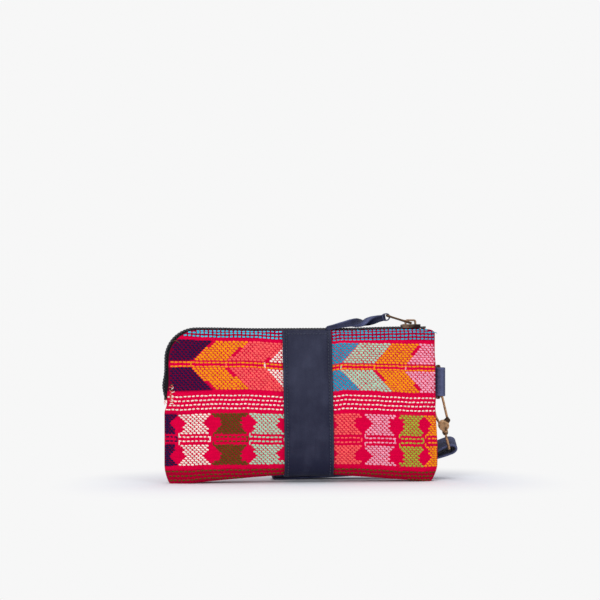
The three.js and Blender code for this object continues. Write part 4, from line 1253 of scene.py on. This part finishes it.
outer = tab_grid(tab_thickness / 2)
inner = tab_grid(-tab_thickness / 2)
points, faces = quilt(outer, inner)
tab = make_piece("tab_leather", points, faces, worn_leather)
up = levels[:, None]
edge_wear = 0.45 * np.exp(-((np.minimum(up - levels[0], levels[-1] - up) / 0.8) ** 2))
bend_wear = 0.4 * np.exp(-(((outer[:, :, 0] - loop_x - 0.5) / 1.0) ** 2))
note_quilt(tab, run_along(outer, 1), up, 0.54 + edge_wear + bend_wear, 0.35)
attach(tab, "pouch")
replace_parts(tab, "side_tab")


# The puller: a leather lace, doubled through the hole in the metal link and twisted on itself. It lies over
# the zip, to the left of the slider.

thong_loop = 2.7
loop_up = 2.2
loop_down = 2.65
loop_half_thick = 0.5
link_length = 16.8
link_tilt = math.radians(16.6)
thong_tilt = math.radians(-7.1)
link_thickness = 1.1
link_rise = 0.4
slider_plate = 1.1
plate_top = body_height + tape_shelf + clearance + coil_height + clearance + slider_plate
link_pivot = np.array([slider_x, 0, plate_top + clearance + link_thickness / 2 + link_rise])


def turned_y(points, angle):
    """Points turned about the Y axis."""
    c, s = math.cos(angle), math.sin(angle)
    x, y, z = np.moveaxis(np.asarray(points, float), -1, 0)
    return np.stack([c * x + s * z, y, c * z - s * x], -1)


def squared(value, power):
    """A sine or a cosine, pushed towards the corners of a square."""
    return np.copysign(np.abs(value) ** power, value)


thong_place = link_pivot + turned_y([-link_length, 0, 0], link_tilt)

# Along the lace: across, depth and height of its middle, its width and thickness, and its turn from upright.
lace = np.array([
    [62.2, 0.0, 122.7, 4.6, 2.8, 2], [57.5, 0.0, 121.9, 5.2, 3.2, 8],
    [53.5, -0.1, 120.8, 6.2, 3.8, 24], [49.0, -0.5, 119.6, 6.6, 4.8, 58],
    [44.8, -1.1, 118.5, 6.4, 5.4, 100], [40.6, -2.1, 118.5, 7.0, 4.2, 150],
    [36.5, -3.2, 118.4, 6.0, 3.4, 184], [32.0, -4.4, 117.4, 5.0, 2.8, 196],
    [27.0, -4.9, 116.3, 4.2, 2.4, 190], [21.5, -5.2, 114.9, 3.5, 2.0, 182],
    [16.5, -5.3, 113.9, 3.0, 1.6, 178],
])
share = np.linspace(0, len(lace) - 1, 110)
soft = np.exp(-(np.linspace(-1.6, 1.6, 15) ** 2))
soft /= soft.sum()
course = []
for column in lace.T:
    even = np.interp(share, np.arange(len(lace)), column)
    padded = np.concatenate([2 * even[0] - even[7:0:-1], even, 2 * even[-1] - even[-2:-9:-1]])
    course.append(np.convolve(padded, soft, "valid"))
middles = np.stack(course[:3], -1)
ways = np.gradient(middles, axis=0)
ways /= np.linalg.norm(ways, axis=1, keepdims=True)
upright = np.cross(ways, [0.0, 1.0, 0.0])
upright *= np.sign(upright[:, 2:])
upright /= np.linalg.norm(upright, axis=1, keepdims=True)
level = np.cross(upright, ways)
run = run_along(middles[None], 1)[0]
end = 1 - 0.6 * step(np.arange(len(middles)), 104, 109)[:, None] ** 2
turn = np.radians(course[5])[:, None]
w = np.arange(24) * math.pi / 12
pinch = 1 - 0.1 * np.exp(-((np.sin(w) / 0.2) ** 2))
valley = 1 - 0.34 * np.exp(-((np.cos(w) / 0.3) ** 2))
a = course[3][:, None] / 2 * squared(np.cos(w), 0.6) * pinch * end
b = course[4][:, None] / 2 * squared(np.sin(w), 0.6) * valley * end
tall = (a * np.cos(turn) - b * np.sin(turn))[..., None]
wide = (a * np.sin(turn) + b * np.cos(turn))[..., None]
rings = middles[:, None] + upright[:, None] * tall + level[:, None] * wide
# Painted highlights on the lace's ridges, at the edges of its width, and painted shade in between.
places_and_light = mark(run[:, None], w * 1.9, 1.15 * np.abs(np.cos(w)) ** 3 - 0.08)

w = (2 * math.pi * np.arange(32) / 32)[:, None]
q = 2 * math.pi * np.arange(12) / 12
reach = np.where(w < math.pi, loop_up, loop_down)
half_wide = 1.1 + 1.2 * step(-np.cos(w), -0.2, 0.8)
back = thong_loop * (squared(np.cos(w), 0.8) - 1) + np.cos(w) * loop_half_thick * np.cos(q)
rise = reach * squared(np.sin(w), 0.8) + np.sin(w) * loop_half_thick * np.cos(q)
loop_rings = np.stack([back, half_wide * squared(np.sin(q), 0.7), rise], -1)
loop_rings = thong_place + turned_y(loop_rings, thong_tilt)
faces = tube(rings, False) + [[n + rings.size // 3 for n in face] for face in tube(loop_rings, True)]
points = np.concatenate([rings.reshape(-1, 3), loop_rings.reshape(-1, 3)])
places_and_light = np.concatenate([places_and_light, mark(w * 3, q * 2, 0.6)])
thong = make_piece("twisted_thong", points, faces, worn_leather)
note(thong, places_and_light)
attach(thong, "thong")
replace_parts(thong, "pull_thong")


# The wrist strap: a long strip of the same leather, folded in two through the swivel eye's bar. Its two
# layers lie together behind the pouch, and the far end is a fold.

strap_width = 12.7
strap_thickness = 1.9
strap_fold = 2.8
strap_fold_extra = 1.5
strap_gap = 0.15
strap_end_fold = 0.35
strap_reach = 120.9
strap_end = body_width / 2 - strap_reach
strap_back = 23.0
strap_roll = math.radians(-30)
strap_twist = 1.2
strap_corner = 0.62
eye_bar = (np.array(joints["strap_swing"]["pos_m"]) - body_middle) * 1000
bar_way = -np.array(joints["strap_swing"]["axis"])
leave = unit(np.cross(bar_way, [0, 0, 1]))
leave = leave if leave[0] < 0 else -leave
below = np.cross(leave, bar_way)
below = below if below[2] < 0 else -below
leave = unit(leave + 0.3 * below)
rest_height = strap_thickness + strap_end_fold


def strap_middle(q):
    """A place between the strap's two layers, from the eye's bar at 0 to the far fold at 1."""
    x = eye_bar[0] * (1 - q) + strap_end * q
    y = eye_bar[1] + (strap_back - eye_bar[1]) * (1 - (1 - q) ** 4.4)
    z = rest_height + (eye_bar[2] - rest_height) * (1 - q) ** 2.3
    return np.array([x, y, z])


def strap_half_gap(q):
    """How far the middle of each layer is from there."""
    pressed = strap_gap + strap_thickness / 2
    near = (strap_fold + strap_thickness / 2 - pressed) * (1 - float(step(q, 0.01, 0.2)))
    far_end = (strap_end_fold + strap_thickness / 2 - pressed) * float(step(q, 0.82, 0.99))
    return pressed + near + far_end


def strap_frame(q):
    """The ways along the strap, across it and out of its upper layer."""
    along = unit(strap_middle(min(q + 0.01, 1)) - strap_middle(max(q - 0.01, 0)))
    if q < 0.05:
        along = unit(along + (leave - along) * (1 - q / 0.05))
    roll = strap_roll * (1 - float(step(q, 0.25, 0.8))) * (1 + (strap_twist - 1) * float(step(q, 0.03, 0.12)))
    level = unit(np.cross([0, 0, 1], along))
    across = level * math.cos(roll) + np.cross(along, level) * math.sin(roll)
    up = np.cross(along, across)
    return along, across, up if up[2] > 0 else -up


half_width, half_thick = strap_width / 2, strap_thickness / 2
outline = []
for cx, cz, start in ((1, 1, 0), (-1, 1, 90), (-1, -1, 180), (1, -1, 270)):
    for angle in (0, 30, 60, 90):
        w = math.radians(start + angle)
        corner_x = cx * (half_width - strap_corner) + strap_corner * math.cos(w)
        outline.append((corner_x, cz * (half_thick - strap_corner) + strap_corner * math.sin(w)))
    if cx * cz > 0:
        outline += [(cz * share * half_width, cz * half_thick) for share in (0.75, 0.35, 0.0, -0.35, -0.75)]

strap_rings = []


def add_strap_ring(middle, outward, across):
    strap_rings.append([middle + across * w + outward * t for w, t in outline])


def add_strap_fold(q, gap, sign):
    along, across, up = strap_frame(q)
    for angle in np.linspace(math.pi / 2, -math.pi / 2, 20)[1:-1]:
        outward = along * sign * math.cos(angle) + up * sign * math.sin(angle)
        longer = along * sign * math.cos(angle) * (strap_fold_extra if sign < 0 else 0)
        add_strap_ring(strap_middle(q) + outward * gap + longer, outward, across)


for layer_side in (1, -1):
    for q in np.linspace(0, 1, 70)[:: layer_side]:
        along, across, up = strap_frame(q)
        add_strap_ring(strap_middle(q) + up * layer_side * strap_half_gap(q), up * layer_side, across)
    if layer_side > 0:
        add_strap_fold(1, strap_end_fold + strap_thickness / 2, 1)
    else:
        add_strap_fold(0, strap_fold + strap_thickness / 2, -1)
strap_rings = np.array(strap_rings)
strap = make_piece("strap_leather", strap_rings, tube(strap_rings, True), worn_leather)
w, t = np.array(outline).T
edge_wear = 0.8 * np.exp(-(((half_width - np.abs(w)) / 0.7) ** 2))
run = run_along(strap_rings.mean(axis=1)[None], 1).T
# Painted shade on the inner faces, between the two layers.
note(strap, mark(run, w, 0.3 + edge_wear - np.where(t < 0, 0.6, 0.0)))
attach(strap, "strap")
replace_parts(strap, "wrist_strap")
